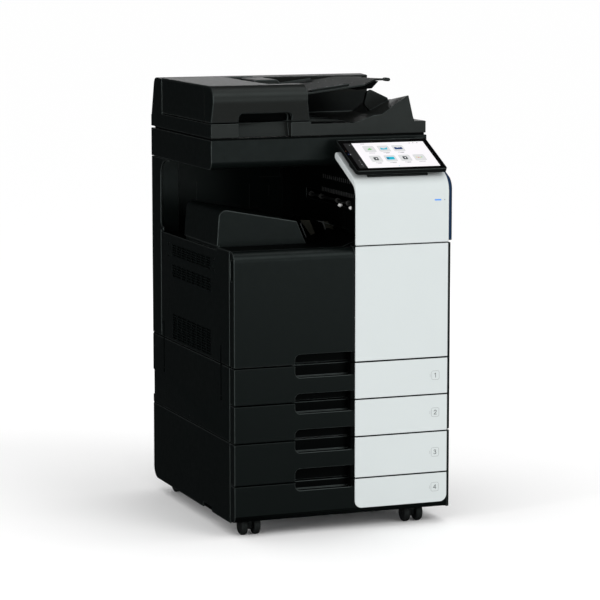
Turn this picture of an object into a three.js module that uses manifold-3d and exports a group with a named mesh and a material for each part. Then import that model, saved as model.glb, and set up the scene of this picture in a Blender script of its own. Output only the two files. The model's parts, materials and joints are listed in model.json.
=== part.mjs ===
// A floor-standing A3 office copier: engine with two paper trays, a two-tray paper cabinet on casters
// below it, an output bay in the body, and a scanner with a document feeder on top.
// Millimetres, +Z up. The front faces -Y, the origin is on the floor under the middle of the box.
import * as THREE from "three";
import { mergeVertices } from "three/addons/utils/BufferGeometryUtils.js";
import Module from "manifold-3d";

const wasm = await Module();
wasm.setup();

// ---------------------------------------------------------------- driving dimensions
const FRONT_WIDTH = 615; // the tray fronts and the front door
const SIDE_BULGE = 20; // the right-hand covers stand out past the fronts
const DEPTH = 716; // white panels to rear cover
const WHITE_SKIN = 6; // the white panels stand on the black fronts
const COVER_SKIN = 5.8; // side covers
const FRAME_WALL = 2.5; // sheet steel boxes
const FRONT_THICKNESS = 36; // tray fronts and door
const FIT = 0.3; // between pieces that touch
const GAP = 1.5; // between pieces that pass each other

const LEFT = -(FRONT_WIDTH + SIDE_BULGE) / 2;
const RIGHT = -LEFT;
const FRONT_RIGHT = LEFT + FRONT_WIDTH;
const WHITE_Y = -DEPTH / 2;
const REAR_Y = DEPTH / 2;
const FRONT_Y = WHITE_Y + WHITE_SKIN;
const FRONT_BACK_Y = FRONT_Y + FRONT_THICKNESS;

// Heights, from the floor up
const FRAME_BOTTOM = 56; // also the top of the casters
const SKIRT = 41; // lower edge of the lowest front
const CABINET_TOP = 253;
const BODY_BOTTOM = 256.2;
const DOOR_BOTTOM = 459;
const FRAME_TOP = 750;
const DOOR_TOP = 766;
const NECK_BOTTOM = 771;
const TOWER_TOP = 966;
const SCANNER_BOTTOM = 967;
const SCANNER_TOP = 1046;
const FEEDER_BOTTOM = 1051.5;
const FEEDER_DECK = 1084; // deck of the feeder's right-hand half
const FEEDER_SEAM = 1090; // top of the feeder base's left-hand half
const FEEDER_TOP = 1191;
const HOOD_TOP = 1195; // the pick-up hood stands a little above the feeder

// Frame box shared by the cabinet and the engine
const FRAME_X = [LEFT + COVER_SKIN + 2 * FIT, FRONT_RIGHT - FIT];
const FRAME_Y = [-310, 340];
const LEFT_SKIN_X = [LEFT, LEFT + COVER_SKIN];
const SIDE_COVER_FRONT = FRONT_BACK_Y + GAP;
const SIDE_COVER_REAR = 349.5;

// White column on the right of the front
const WHITE_X = [24, 293];
const WHITE_BOTTOM = 58.5;

// Finger recess between one front and the next
const RECESS_X = [-145.5, 24];
const RECESS_DEPTH = 26;
const RECESS_CORNER = 14;
const GROOVE_DEPTH = 14; // the groove behind each tray's lip that the fingers hook into
const LIP = 6;

// The four trays, top to bottom: front's lower and upper edge, recess cut up from the lower edge and
// down from the upper edge, and the paper box's floor and rim.
const TRAYS = [
  { name: "tray_1", front: [357.8, 455.5], recessUpTo: 380, recessDownTo: 424, box: [367, 445] },
  { name: "tray_2", front: [256, 354.8], recessUpTo: 283, recessDownTo: 327, box: [266, 350] },
  { name: "tray_3", front: [142.5, 253], recessUpTo: 177, recessDownTo: 221, box: [151, 240] },
  { name: "tray_4", front: [SKIRT, 139.5], recessUpTo: null, recessDownTo: 118.6, box: [64, 134] },
];
const TRAY_BOX_X = [-289, 275];
const TRAY_BOX_Y = [FRONT_BACK_Y + 0.5, 170];
const TRAY_WALL = 3;

// Scanner and feeder
const SCANNER_X = [LEFT, 307.8];
const HEAD_Y = [-173, 352]; // front and rear of scanner and feeder
const FEEDER_X = [LEFT, 305];

// ---------------------------------------------------------------- finishes
const FINISH = {
  black: [0x1b1e1d, 0.55, 0],
  dark: [0x2a2c2b, 0.5, 0],
  inner: [0x101212, 0.7, 0],
  white: [0xd9dfdf, 0.45, 0],
  steel: [0x8f9496, 0.45, 0.7],
  grey: [0x6f7476, 0.6, 0],
  rubber: [0x2b2b2b, 0.85, 0],
  glass: [0xaebfc4, 0.1, 0],
  screen: [0x0a0a0c, 0.12, 0],
  cyan: [0x1f8fb5, 0.5, 0],
  magenta: [0xb03070, 0.5, 0],
  yellow: [0xd9b82e, 0.5, 0],
  toner_black: [0x222222, 0.5, 0],
};

// ---------------------------------------------------------------- solids
// A closed geometry as a solid that can be cut and joined
function solid(geometry) {
  const bare = geometry.clone();
  bare.deleteAttribute("normal");
  bare.deleteAttribute("uv");
  const merged = mergeVertices(bare, 1e-4);
  const mesh = new wasm.Mesh({
    numProp: 3,
    vertProperties: merged.attributes.position.array,
    triVerts: new Uint32Array(merged.index.array),
  });
  return new wasm.Manifold(mesh);
}

function box([x0, x1], [y0, y1], [z0, z1]) {
  const geometry = new THREE.BoxGeometry(x1 - x0, y1 - y0, z1 - z0);
  return solid(geometry.translate((x0 + x1) / 2, (y0 + y1) / 2, (z0 + z1) / 2));
}

// A closed outline of corners [a, b, radius]; a corner without a radius is sharp
function outline(corners) {
  const shape = new THREE.Shape();
  corners.forEach(([a, b, radius = 0], i) => {
    const corner = new THREE.Vector2(a, b);
    const before = new THREE.Vector2(...corners.at(i - 1).slice(0, 2)).sub(corner);
    const after = new THREE.Vector2(...corners[(i + 1) % corners.length].slice(0, 2)).sub(corner);
    const begin = (p) => (i === 0 ? shape.moveTo(p.x, p.y) : shape.lineTo(p.x, p.y));
    if (radius === 0) {
      begin(corner);
      return;
    }
    const turnsLeft = before.cross(after) < 0;
    before.normalize();
    after.normalize();
    const half = Math.acos(before.dot(after)) / 2;
    const start = corner.clone().addScaledVector(before, radius / Math.tan(half));
    const end = corner.clone().addScaledVector(after, radius / Math.tan(half));
    const middle = before.clone().add(after).normalize();
    const centre = corner.clone().addScaledVector(middle, radius / Math.sin(half));
    begin(start);
    const from = start.sub(centre).angle();
    const to = end.sub(centre).angle();
    shape.absarc(centre.x, centre.y, radius, from, to, !turnsLeft);
  });
  return shape;
}

function extrude(corners, length, arcSteps) {
  const options = { depth: length, bevelEnabled: false, curveSegments: arcSteps };
  return new THREE.ExtrudeGeometry(outline(corners), options);
}

// Outline in Y and Z, pushed along X
function alongX(corners, [x0, x1], arcSteps = 5) {
  const turn = new THREE.Matrix4().makeBasis(
    new THREE.Vector3(0, 1, 0),
    new THREE.Vector3(0, 0, 1),
    new THREE.Vector3(1, 0, 0),
  );
  return solid(extrude(corners, x1 - x0, arcSteps).applyMatrix4(turn).translate(x0, 0, 0));
}

// Outline in X and Z, pushed along Y
function alongY(corners, [y0, y1], arcSteps = 5) {
  return solid(extrude(corners, y1 - y0, arcSteps).rotateX(Math.PI / 2).translate(0, y1, 0));
}

// Outline in X and Y, pushed along Z
function alongZ(corners, [z0, z1], arcSteps = 5) {
  return solid(extrude(corners, z1 - z0, arcSteps).translate(0, 0, z0));
}

function roundedRectangle([a0, a1], [b0, b1], radius) {
  return [
    [a0, b0, radius],
    [a1, b0, radius],
    [a1, b1, radius],
    [a0, b1, radius],
  ];
}

// A round bar along X or Y through a point given by its two other coordinates
function bar(axis, [a, b], radius, [from, to], sides = 16) {
  const geometry = new THREE.CylinderGeometry(radius, radius, to - from, sides);
  const middle = (from + to) / 2;
  if (axis === "X") return solid(geometry.rotateZ(Math.PI / 2).translate(middle, a, b));
  return solid(geometry.translate(a, middle, b));
}

function join(first, ...others) {
  return others.reduce((whole, part) => whole.add(part), first);
}

function cut(body, ...tools) {
  return tools.reduce((rest, tool) => rest.subtract(tool), body);
}

const copier = new THREE.Group();

// Puts a solid into the copier as a named mesh with a material of its own
function add(name, body, finish, parent = copier) {
  const { vertProperties, triVerts } = body.getMesh();
  const geometry = new THREE.BufferGeometry();
  geometry.setAttribute("position", new THREE.BufferAttribute(vertProperties, 3));
  geometry.setIndex(new THREE.BufferAttribute(triVerts, 1));
  const [color, roughness, metalness] = FINISH[finish];
  const mesh = new THREE.Mesh(geometry, new THREE.MeshStandardMaterial({ color, roughness, metalness }));
  mesh.name = name;
  parent.add(mesh);
}

const grown = ([low, high], by) => [low - by, high + by];
const shrunk = ([low, high], by) => [low + by, high - by];

// ---------------------------------------------------------------- casters
const WHEEL_RADIUS = 25;
const WHEEL_SIDES = 20;
const TRAIL = -18; // the axle lies in front of the swivel
const CASTERS = {
  front_left: [-261, -285],
  front_right: [210, -285],
  rear_left: [-253, 300],
  rear_right: [210, 300],
};

function casterFork() {
  const thickness = 4.5;
  const plate = new THREE.CylinderGeometry(22, 22, thickness, 20).rotateX(Math.PI / 2);
  const web = alongX(
    [
      [18, 52],
      [10, 40, 6],
      [-12, 15, 5],
      [-28, 15, 6],
      [-30, 34, 6],
      [-24, 52],
    ],
    [-6.5, 6.5],
    3,
  );
  const whole = join(solid(plate.translate(0, 0, FRAME_BOTTOM - FIT - thickness / 2)), web);
  return cut(whole, bar("X", [TRAIL, WHEEL_RADIUS], 5.4, [-8, 8], WHEEL_SIDES));
}

// Two wheels on one axle, turned as one piece; a flat of the wheels touches the floor
function wheelPair() {
  const [axle, hub, tread, inner, outer, edge] = [4.6, 21.5, WHEEL_RADIUS, 9, 27, 3];
  const half = [
    [0, outer],
    [hub, outer],
    [tread, outer - edge],
    [tread, inner + edge],
    [hub, inner],
    [axle, inner],
  ];
  const mirrored = half.map(([r, x]) => [r, -x]);
  const toCorner = 1 / Math.cos(Math.PI / WHEEL_SIDES);
  const profile = [...mirrored, ...half.reverse()].map(([r, x]) => new THREE.Vector2(r * toCorner, x));
  const turned = new THREE.LatheGeometry(profile, WHEEL_SIDES, Math.PI / WHEEL_SIDES);
  return solid(turned.rotateZ(-Math.PI / 2).translate(0, TRAIL, WHEEL_RADIUS));
}

function addCasters() {
  for (const [place, [x, y]] of Object.entries(CASTERS)) {
    const caster = new THREE.Group();
    caster.position.set(x, y, 0);
    add(`caster_fork_${place}`, casterFork(), "black", caster);
    add(`caster_wheels_${place}`, wheelPair(), "rubber", caster);
    copier.add(caster);
  }
}

// ---------------------------------------------------------------- frames
const BAY_X = shrunk(FRAME_X, FRAME_WALL);
const BAY_Y = [FRAME_Y[0] - 1, FRAME_Y[1] - FRAME_WALL];
const LEDGE_WIDTH = 24;

// Runners on both walls and a cross bar in front, between an upper and a lower tray
function trayRunners(top) {
  const run = [FRAME_Y[0] + 2, 200];
  const height = [top - 5, top];
  return [
    box([FRAME_X[0] + 1, BAY_X[0] + LEDGE_WIDTH], run, height),
    box([BAY_X[1] - LEDGE_WIDTH, FRAME_X[1] - 1], run, height),
    box(shrunk(FRAME_X, 1), [run[0], run[0] + 10], [top - 8, top]),
  ];
}

function cabinetFrame() {
  const shell = box(FRAME_X, FRAME_Y, [FRAME_BOTTOM, CABINET_TOP - FIT]);
  const bay = box(BAY_X, BAY_Y, [FRAME_BOTTOM + FRAME_WALL, CABINET_TOP - FIT - FRAME_WALL]);
  return join(cut(shell, bay), ...trayRunners(TRAYS[2].box[0] - 1));
}

// Toner cartridges lie front to back in four tunnels of the engine's inner panel
const INNER_PANEL_Y = [-264, -256];
const TONER_Z = 662;
const TONER_RADIUS = 29;
const TONER = [
  ["toner_cartridge_yellow", -235, "yellow"],
  ["toner_cartridge_magenta", -145, "magenta"],
  ["toner_cartridge_cyan", -55, "cyan"],
  ["toner_cartridge_black", 35, "toner_black"],
];

function mainFrame() {
  const shell = box(FRAME_X, FRAME_Y, [BODY_BOTTOM, FRAME_TOP]);
  const trayBay = box(BAY_X, BAY_Y, [BODY_BOTTOM + FRAME_WALL, 450]);
  const engineZ = [450 + FRAME_WALL, FRAME_TOP - FRAME_WALL];
  const frontBay = box(BAY_X, [BAY_Y[0], INNER_PANEL_Y[0]], engineZ);
  const engineBay = box(BAY_X, [INNER_PANEL_Y[1], BAY_Y[1]], engineZ);
  const tunnels = TONER.map(([, x]) =>
    bar("Y", [x, TONER_Z], TONER_RADIUS + GAP, grown(INNER_PANEL_Y, 1)),
  );
  const hollow = cut(shell, trayBay, frontBay, engineBay, ...tunnels);
  return join(hollow, ...trayRunners(TRAYS[0].box[0] - 1));
}

function tonerCartridge(x) {
  const capX = [x - 36, x + 36];
  const cap = alongY(roundedRectangle(capX, [TONER_Z - 38, TONER_Z + 38], 12), [-286, -266], 3);
  return join(bar("Y", [x, TONER_Z], TONER_RADIUS, [-270, 180], 20), cap);
}

// ---------------------------------------------------------------- trays
function recess(z0, z1, lowerRadius, upperRadius) {
  const corners = [
    [RECESS_X[0], z0, lowerRadius],
    [RECESS_X[1], z0, lowerRadius],
    [RECESS_X[1], z1, upperRadius],
    [RECESS_X[0], z1, upperRadius],
  ];
  return alongY(corners, [FRONT_Y - 1, FRONT_Y + RECESS_DEPTH], 4);
}

function trayFront({ front: [low, high], recessUpTo, recessDownTo }) {
  const bottomRadius = low === SKIRT ? 18 : 2;
  const face = alongX(
    [
      [FRONT_Y, low, bottomRadius],
      [FRONT_BACK_Y, low],
      [FRONT_BACK_Y, high],
      [FRONT_Y, high, 2],
    ],
    [LEFT, FRONT_RIGHT],
    3,
  );
  const groove = box(
    shrunk(RECESS_X, LIP),
    [FRONT_Y + LIP, FRONT_Y + RECESS_DEPTH - 2],
    [recessDownTo - GROOVE_DEPTH, recessDownTo + 1],
  );
  const tools = [recess(recessDownTo, high + 1, RECESS_CORNER, 0), groove];
  // Above the casters the lowest front is only a skin, so that the wheels can swivel behind it
  const casterRoom = box(
    [LEFT + COVER_SKIN, FRONT_RIGHT - COVER_SKIN],
    [FRONT_Y + 12, FRONT_BACK_Y + 1],
    [low - 1, FRAME_BOTTOM + 2],
  );
  if (low === SKIRT) tools.push(casterRoom);
  if (recessUpTo) tools.push(recess(low - 1, recessUpTo, 0, RECESS_CORNER));
  return cut(face, ...tools);
}

function trayBox({ box: [floor, rim] }) {
  const shell = box(TRAY_BOX_X, TRAY_BOX_Y, [floor, rim]);
  const inside = box(
    shrunk(TRAY_BOX_X, TRAY_WALL),
    shrunk(TRAY_BOX_Y, TRAY_WALL),
    [floor + TRAY_WALL, rim + 1],
  );
  return cut(shell, inside);
}

function whitePanel([low, high], lowerRadius) {
  const corners = [
    [WHITE_X[0], low, lowerRadius],
    [WHITE_X[1], low, lowerRadius],
    [WHITE_X[1], high],
    [WHITE_X[0], high],
  ];
  return alongY(corners, [WHITE_Y, FRONT_Y - FIT]);
}

function addTrays() {
  for (const tray of TRAYS) {
    const lowest = tray.front[0] === SKIRT;
    const panelBottom = lowest ? WHITE_BOTTOM : tray.front[0];
    add(`${tray.name}_box`, trayBox(tray), "grey");
    add(`${tray.name}_front`, trayFront(tray), "black");
    add(`${tray.name}_white_panel`, whitePanel([panelBottom, tray.front[1]], lowest ? 20 : 0), "white");
  }
}

// ---------------------------------------------------------------- front door
const DOOR_WHITE_TOP = NECK_BOTTOM - 3;

function frontDoor() {
  const left = alongX(
    [
      [FRONT_Y, DOOR_BOTTOM],
      [FRONT_BACK_Y, DOOR_BOTTOM],
      [FRONT_BACK_Y, DOOR_TOP],
      [FRONT_Y, DOOR_TOP, 28],
    ],
    [LEFT, WHITE_X[0]],
    6,
  );
  const right = box(
    [WHITE_X[0], FRONT_RIGHT],
    [FRONT_Y, FRONT_BACK_Y],
    [DOOR_BOTTOM, DOOR_WHITE_TOP],
  );
  const sidePull = alongX(
    roundedRectangle([FRONT_Y + 11, FRONT_Y + 29], [687, 744], 7),
    [LEFT - 1, LEFT + 17],
    3,
  );
  return cut(join(left, right), recess(DOOR_BOTTOM - 1, 486, 0, RECESS_CORNER), sidePull);
}

// ---------------------------------------------------------------- left, rear and right covers
function cabinetLeftCover() {
  const low = 36;
  const corners = [
    [SIDE_COVER_FRONT, low],
    [-164, low],
    [-160, 50],
    [-93, 50],
    [-89, low],
    [SIDE_COVER_REAR, low, 34],
    [SIDE_COVER_REAR, CABINET_TOP],
    [SIDE_COVER_FRONT, CABINET_TOP],
  ];
  return alongX(corners, LEFT_SKIN_X);
}

function leftLowerCover() {
  const top = DOOR_BOTTOM - 3.5;
  const corners = [
    [SIDE_COVER_FRONT, BODY_BOTTOM],
    [SIDE_COVER_REAR, BODY_BOTTOM],
    [SIDE_COVER_REAR, 279],
    [341, 279],
    [341, 350],
    [SIDE_COVER_REAR, 350],
    [SIDE_COVER_REAR, top],
    [SIDE_COVER_FRONT, top],
  ];
  return alongX(corners, LEFT_SKIN_X);
}

const COLUMN_FRONT = 268.5; // front edge of the rear column
const LEFT_COVER_TOP = 758;

function leftUpperCover() {
  const corners = [
    [SIDE_COVER_FRONT, DOOR_BOTTOM],
    [COLUMN_FRONT - 2.5, DOOR_BOTTOM],
    [COLUMN_FRONT - 2.5, LEFT_COVER_TOP],
    [-205, LEFT_COVER_TOP],
    [-213, DOOR_TOP],
    [SIDE_COVER_FRONT, DOOR_TOP],
  ];
  return alongX(corners, LEFT_SKIN_X);
}

// Left rear corner column with its skin, and the back wall of the output bay
const BAY_WALL_Y = [300, FRAME_Y[1]];
const TOWER_X = [62.5, 290];

function rearColumn() {
  const bottom = DOOR_BOTTOM + 0.5;
  const foot = 246;
  const skin = alongX(
    [
      [COLUMN_FRONT, bottom],
      [SIDE_COVER_REAR, bottom],
      [SIDE_COVER_REAR, TOWER_TOP],
      [196, TOWER_TOP],
      [196, TOWER_TOP - 6],
      [COLUMN_FRONT, TOWER_TOP - 6, 45],
      [COLUMN_FRONT, 772, 15],
      [foot, 772],
      [foot, LEFT_COVER_TOP + 3],
      [COLUMN_FRONT, LEFT_COVER_TOP + 3],
    ],
    LEFT_SKIN_X,
    6,
  );
  const standing = [FRAME_TOP + 1, TOWER_TOP];
  const column = box([LEFT + COVER_SKIN - 1, -262], [COLUMN_FRONT + 3, BAY_WALL_Y[1]], standing);
  const wall = box([-263, TOWER_X[0] - FIT], BAY_WALL_Y, standing);
  return join(skin, column, wall);
}

// A shallow box open to the front, over the rear of the frame
function rearShell([x0, x1], [z0, z1], rear) {
  const wall = 6;
  const shell = box([x0, x1], [FRAME_Y[1] + FIT, rear], [z0, z1]);
  const inside = box([x0 + wall, x1 - wall], [FRAME_Y[1], rear - wall], [z0 + wall, z1 - wall]);
  return cut(shell, inside);
}

const SIDE_PANEL_X = [FRONT_RIGHT + FIT, FRONT_RIGHT + 8];
const SIDE_PANEL_FRONT = -345;
const DOOR_WINDOW_Y = [-232, 293];
const SIDE_DOOR_X = [FRONT_RIGHT + 1.5, RIGHT - 5];

// Flat cover of the right side with a window for the doors
function rightCover([z0, z1], windowZ) {
  const skin = box(SIDE_PANEL_X, [SIDE_PANEL_FRONT, SIDE_COVER_REAR], [z0, z1]);
  return cut(skin, box(grown(SIDE_PANEL_X, 1), DOOR_WINDOW_Y, windowZ));
}

const BYPASS = { y: [-150, 190], z: [560, 735] };

function sideDoor([z0, z1]) {
  const y = [DOOR_WINDOW_Y[0] + 2, DOOR_WINDOW_Y[1] - 5];
  const corners = [
    [SIDE_DOOR_X[0], y[0]],
    [SIDE_DOOR_X[1], y[0], 7],
    [SIDE_DOOR_X[1], y[1]],
    [SIDE_DOOR_X[0], y[1]],
  ];
  return alongZ(corners, [z0, z1], 4);
}

// The upper side door has a hollow that the folded bypass tray lies in
function rightDoor() {
  const hollow = box(
    [SIDE_DOOR_X[1] - 6, SIDE_DOOR_X[1] + 1],
    grown(BYPASS.y, 2),
    [BYPASS.z[0] - 4, BYPASS.z[1] + 4],
  );
  return cut(sideDoor([461, 764]), hollow);
}

function bypassTray() {
  const thickness = [SIDE_DOOR_X[1] - 5, RIGHT - 1];
  const plate = box(thickness, BYPASS.y, BYPASS.z);
  const fingerNotch = box(
    grown(thickness, 1),
    [-20, 60],
    [BYPASS.z[1] - 16, BYPASS.z[1] + 1],
  );
  return cut(plate, fingerNotch);
}

// ---------------------------------------------------------------- output bay
const OUTPUT_FLOOR = 757;

function outputTray() {
  const floor = alongY(
    [
      [FRAME_X[0], FRAME_TOP + 1],
      [TOWER_X[0] - FIT, FRAME_TOP + 1],
      [TOWER_X[0] - FIT, 786],
      [TOWER_X[0] - 6, 786, 4],
      [-20, OUTPUT_FLOOR, 40],
      [FRAME_X[0], OUTPUT_FLOOR],
    ],
    [-313, COLUMN_FRONT],
    4,
  );
  const frontLedge = box(
    [FRAME_X[0], TOWER_X[0] - FIT],
    [-313, -213],
    [FRAME_TOP + 1, DOOR_TOP - 0.5],
  );
  return join(floor, frontLedge);
}

// Raised stacker that the printed sheets slide down to
function outputTrayBlock() {
  const corners = [
    [-310.5, OUTPUT_FLOOR + FIT],
    [-58, OUTPUT_FLOOR + FIT],
    [-88, 826, 5],
    [-308, 867, 20],
    [-315.5, 767.5],
    [-310.5, 767.5],
  ];
  return alongY(corners, [-211.5, 66]);
}

// White neck: a bent plate that carries the control panel
const NECK_SLOPE = THREE.MathUtils.degToRad(25);
const NECK_END = { y: -208, z: 1011 };
const NECK_PLATE = 19.5;
const NECK_FRONT_WALL = 6.5;
const NECK_X = [WHITE_X[0], WHITE_X[1] + 1.5];

// Height of the neck's sloping top face, lowered by an amount measured square to it
function neckTop(y, lowered = 0) {
  return NECK_END.z + (y - NECK_END.y) * Math.tan(NECK_SLOPE) - lowered / Math.cos(NECK_SLOPE);
}

// Height of the lower face of the block under the tilted panel
function panelUnderside(y) {
  const tilt = THREE.MathUtils.degToRad(PANEL.tilt);
  const along = y - PANEL.y - PANEL.blockDepth * Math.sin(tilt);
  return PANEL.z + along * Math.tan(tilt) - PANEL.blockDepth * Math.cos(tilt);
}

// Bracket on the neck that reaches up to the panel's underside
function panelArm() {
  const [front, rear] = [-300, -262];
  const corners = [
    [front, neckTop(front, 1)],
    [rear, neckTop(rear, 1)],
    [rear, panelUnderside(rear) - 1],
    [front, panelUnderside(front) - 1],
  ];
  return alongX(corners, [110, 210]);
}

function neckPanel() {
  const under = {
    y: NECK_END.y + NECK_PLATE * Math.sin(NECK_SLOPE),
    z: NECK_END.z - NECK_PLATE * Math.cos(NECK_SLOPE),
  };
  const innerY = WHITE_Y + NECK_FRONT_WALL;
  const corners = [
    [WHITE_Y, NECK_BOTTOM],
    [innerY, NECK_BOTTOM],
    [innerY, neckTop(innerY, NECK_PLATE), 40],
    [under.y, under.z, 8],
    [NECK_END.y, NECK_END.z, 8],
    [WHITE_Y, neckTop(WHITE_Y), 55],
  ];
  return join(alongX(corners, NECK_X, 7), panelArm());
}

// Outline of what stands inside the neck, set back from its inner faces
function insideNeck(front, rear, bottom, clearance) {
  const slopeTop = NECK_PLATE + clearance;
  const meets = (TOWER_TOP - neckTop(0, slopeTop)) / Math.tan(NECK_SLOPE);
  return [
    [front, bottom],
    [rear, bottom],
    [rear, TOWER_TOP],
    [meets, TOWER_TOP],
    [front, neckTop(front, slopeTop), 38],
  ];
}

const EXIT_SLOT = { y: [-230, 110], z: [856, 884] };
const EXIT_WALL = 17;
const EXIT_ROLLER = { x: TOWER_X[0] + 4, z: 868, shaft: 4, roller: 7, width: 12, at: [-199, -122, 2, 79] };

function exitTower() {
  const front = WHITE_Y + NECK_FRONT_WALL + GAP;
  const whole = alongX(insideNeck(front, FRAME_Y[1], NECK_BOTTOM, GAP), TOWER_X, 6);
  const foot = box(TOWER_X, [SIDE_COVER_FRONT + 1, FRAME_Y[1]], [FRAME_TOP + 1, NECK_BOTTOM + 1]);
  const hollowX = [TOWER_X[0] + EXIT_WALL, TOWER_X[1] + 1];
  const hollow = box(hollowX, [-290, 325], [FRAME_TOP + 10, 935]);
  const slot = box([TOWER_X[0] - 1, hollowX[0] + 1], EXIT_SLOT.y, EXIT_SLOT.z);
  const arch = alongX(
    [
      [-240, FRAME_TOP],
      [240, FRAME_TOP],
      [240, 797, 40],
      [-240, 797, 40],
    ],
    [TOWER_X[0] - 1, TOWER_X[0] + 14],
    4,
  );
  return cut(join(whole, foot), hollow, slot, arch);
}

function exitRoller() {
  const { x, z, shaft, roller, width, at } = EXIT_ROLLER;
  const rollers = at.map((y) => bar("Y", [x, z], roller, [y - width / 2, y + width / 2], 14));
  return join(bar("Y", [x, z], shaft, shrunk(EXIT_SLOT.y, 3), 10), ...rollers);
}

function rightUpperCover() {
  return alongX(insideNeck(-326, FRAME_Y[1], NECK_BOTTOM, GAP), [TOWER_X[1] + FIT, RIGHT], 7);
}

// ---------------------------------------------------------------- scanner
const GLASS = { x: [-290, 280], y: [-150, 325], z: [1041.3, 1045.3] };
const SCANNER_WALL = 6;
const CARRIAGE = { x: [-280, -240], y: [-135, 310], z: [985, 1028] };

function scannerHousing() {
  const [front, rear] = HEAD_Y;
  const shell = alongX(
    [
      [front, SCANNER_BOTTOM, 22],
      [rear, SCANNER_BOTTOM],
      [rear, SCANNER_TOP],
      [front, SCANNER_TOP, 2],
    ],
    SCANNER_X,
    5,
  );
  const inside = box(
    shrunk(SCANNER_X, SCANNER_WALL),
    [front + 16, rear - SCANNER_WALL],
    [SCANNER_BOTTOM + SCANNER_WALL, 1034],
  );
  const window = box(shrunk(GLASS.x, 8), shrunk(GLASS.y, 8), [1030, SCANNER_TOP + 1]);
  const seat = box(grown(GLASS.x, 0.5), grown(GLASS.y, 0.5), [GLASS.z[0] - FIT, SCANNER_TOP + 1]);
  return cut(shell, inside, window, seat);
}

// ---------------------------------------------------------------- document feeder
const HINGE_AXIS = { y: 345, z: 1058 };
const HINGE_X = [
  [-232, -172],
  [172, 232],
];
const COVER_END = { low: -35, high: -47, lean: 1145 }; // the cover's right end leans left up to z = lean
const COVER_NOSE = { reach: 18, z: 1148 }; // how far the cover's front leans forward, and up to which z
const COVER_REAR = 250;
const COVER_BOTTOM = FEEDER_SEAM + 2.5;
const GRIP_X = [-239, -89];
const PAPER_MIDDLE = 60; // Y of the middle of a sheet
const FEED_SHAFT = { x: -78, z: 1152, radius: 4, roller: 11, y: [-110, 230] };
const THROAT = { x: -135, y: [-118, COVER_REAR - 8], floor: 1150 }; // opening over the sheet inlet

function adfHinge(x) {
  const { y, z } = HINGE_AXIS;
  const corners = [
    [y - 16, SCANNER_TOP + FIT],
    [y + 7, SCANNER_TOP + FIT],
    [y + 7, z + 12, 7],
    [y - 16, z + 12, 9],
  ];
  return alongX(corners, x, 4);
}

// Hand grip under the front of the feeder, through its base and its cover
function feederGrip() {
  const front = HEAD_Y[0];
  const mouth = front - COVER_NOSE.reach - 1;
  const outline = roundedRectangle(GRIP_X, [FEEDER_BOTTOM - 30, 1117], 12);
  const opening = alongY(outline, [mouth, front + 40], 4);
  const depth = alongX(
    [
      [mouth, FEEDER_BOTTOM - 31],
      [front + 14, FEEDER_BOTTOM - 31],
      [front + 30, 1090, 20],
      [front + 22, 1130, 10],
      [mouth, 1130],
    ],
    grown(GRIP_X, 1),
    4,
  );
  return opening.intersect(depth);
}

// The end of the exit tray: a front ramp whose ridge falls towards the rear, a lower ramp behind it
// and a narrow raised stop for the sheets
const RAMP = { bottom: FEEDER_DECK - 2, top: 1156, rearTop: 1137, y: [HEAD_Y[0], -46] };

function frontRamp() {
  const { bottom, top, rearTop, y } = RAMP;
  const corners = [
    [80, bottom],
    [270.5, bottom],
    [253, top, 2],
    [174, 1105, 10],
    [150, 1103, 8],
    [98, FEEDER_DECK + 1],
  ];
  const geometry = extrude(corners, y[1] - y[0], 5).rotateX(Math.PI / 2).translate(0, y[1], 0);
  const points = geometry.attributes.position;
  for (let i = 0; i < points.count; i += 1) {
    const back = (points.getY(i) - y[0]) / (y[1] - y[0]);
    const up = (points.getZ(i) - bottom) / (top - bottom);
    points.setZ(i, points.getZ(i) - back * up * (top - rearTop));
  }
  return solid(geometry);
}

function exitTrayEnd() {
  const { bottom, rearTop, y } = RAMP;
  const lowRamp = [
    [80, bottom],
    [262, bottom],
    [253, rearTop, 2],
    [196, 1096, 10],
    [150, 1091],
    [98, FEEDER_DECK + 1],
  ];
  const stop = [
    [196, bottom],
    [262, bottom],
    [244, 1141, 2],
    [195, 1164, 3],
    [182, 1157],
    [174, 1122, 10],
    [192, 1106, 4],
  ];
  return [
    frontRamp(),
    alongY(lowRamp, [y[1] - 1, 100]),
    alongY(stop, [y[1] - 0.5, y[1] + 14]),
  ];
}

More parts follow.
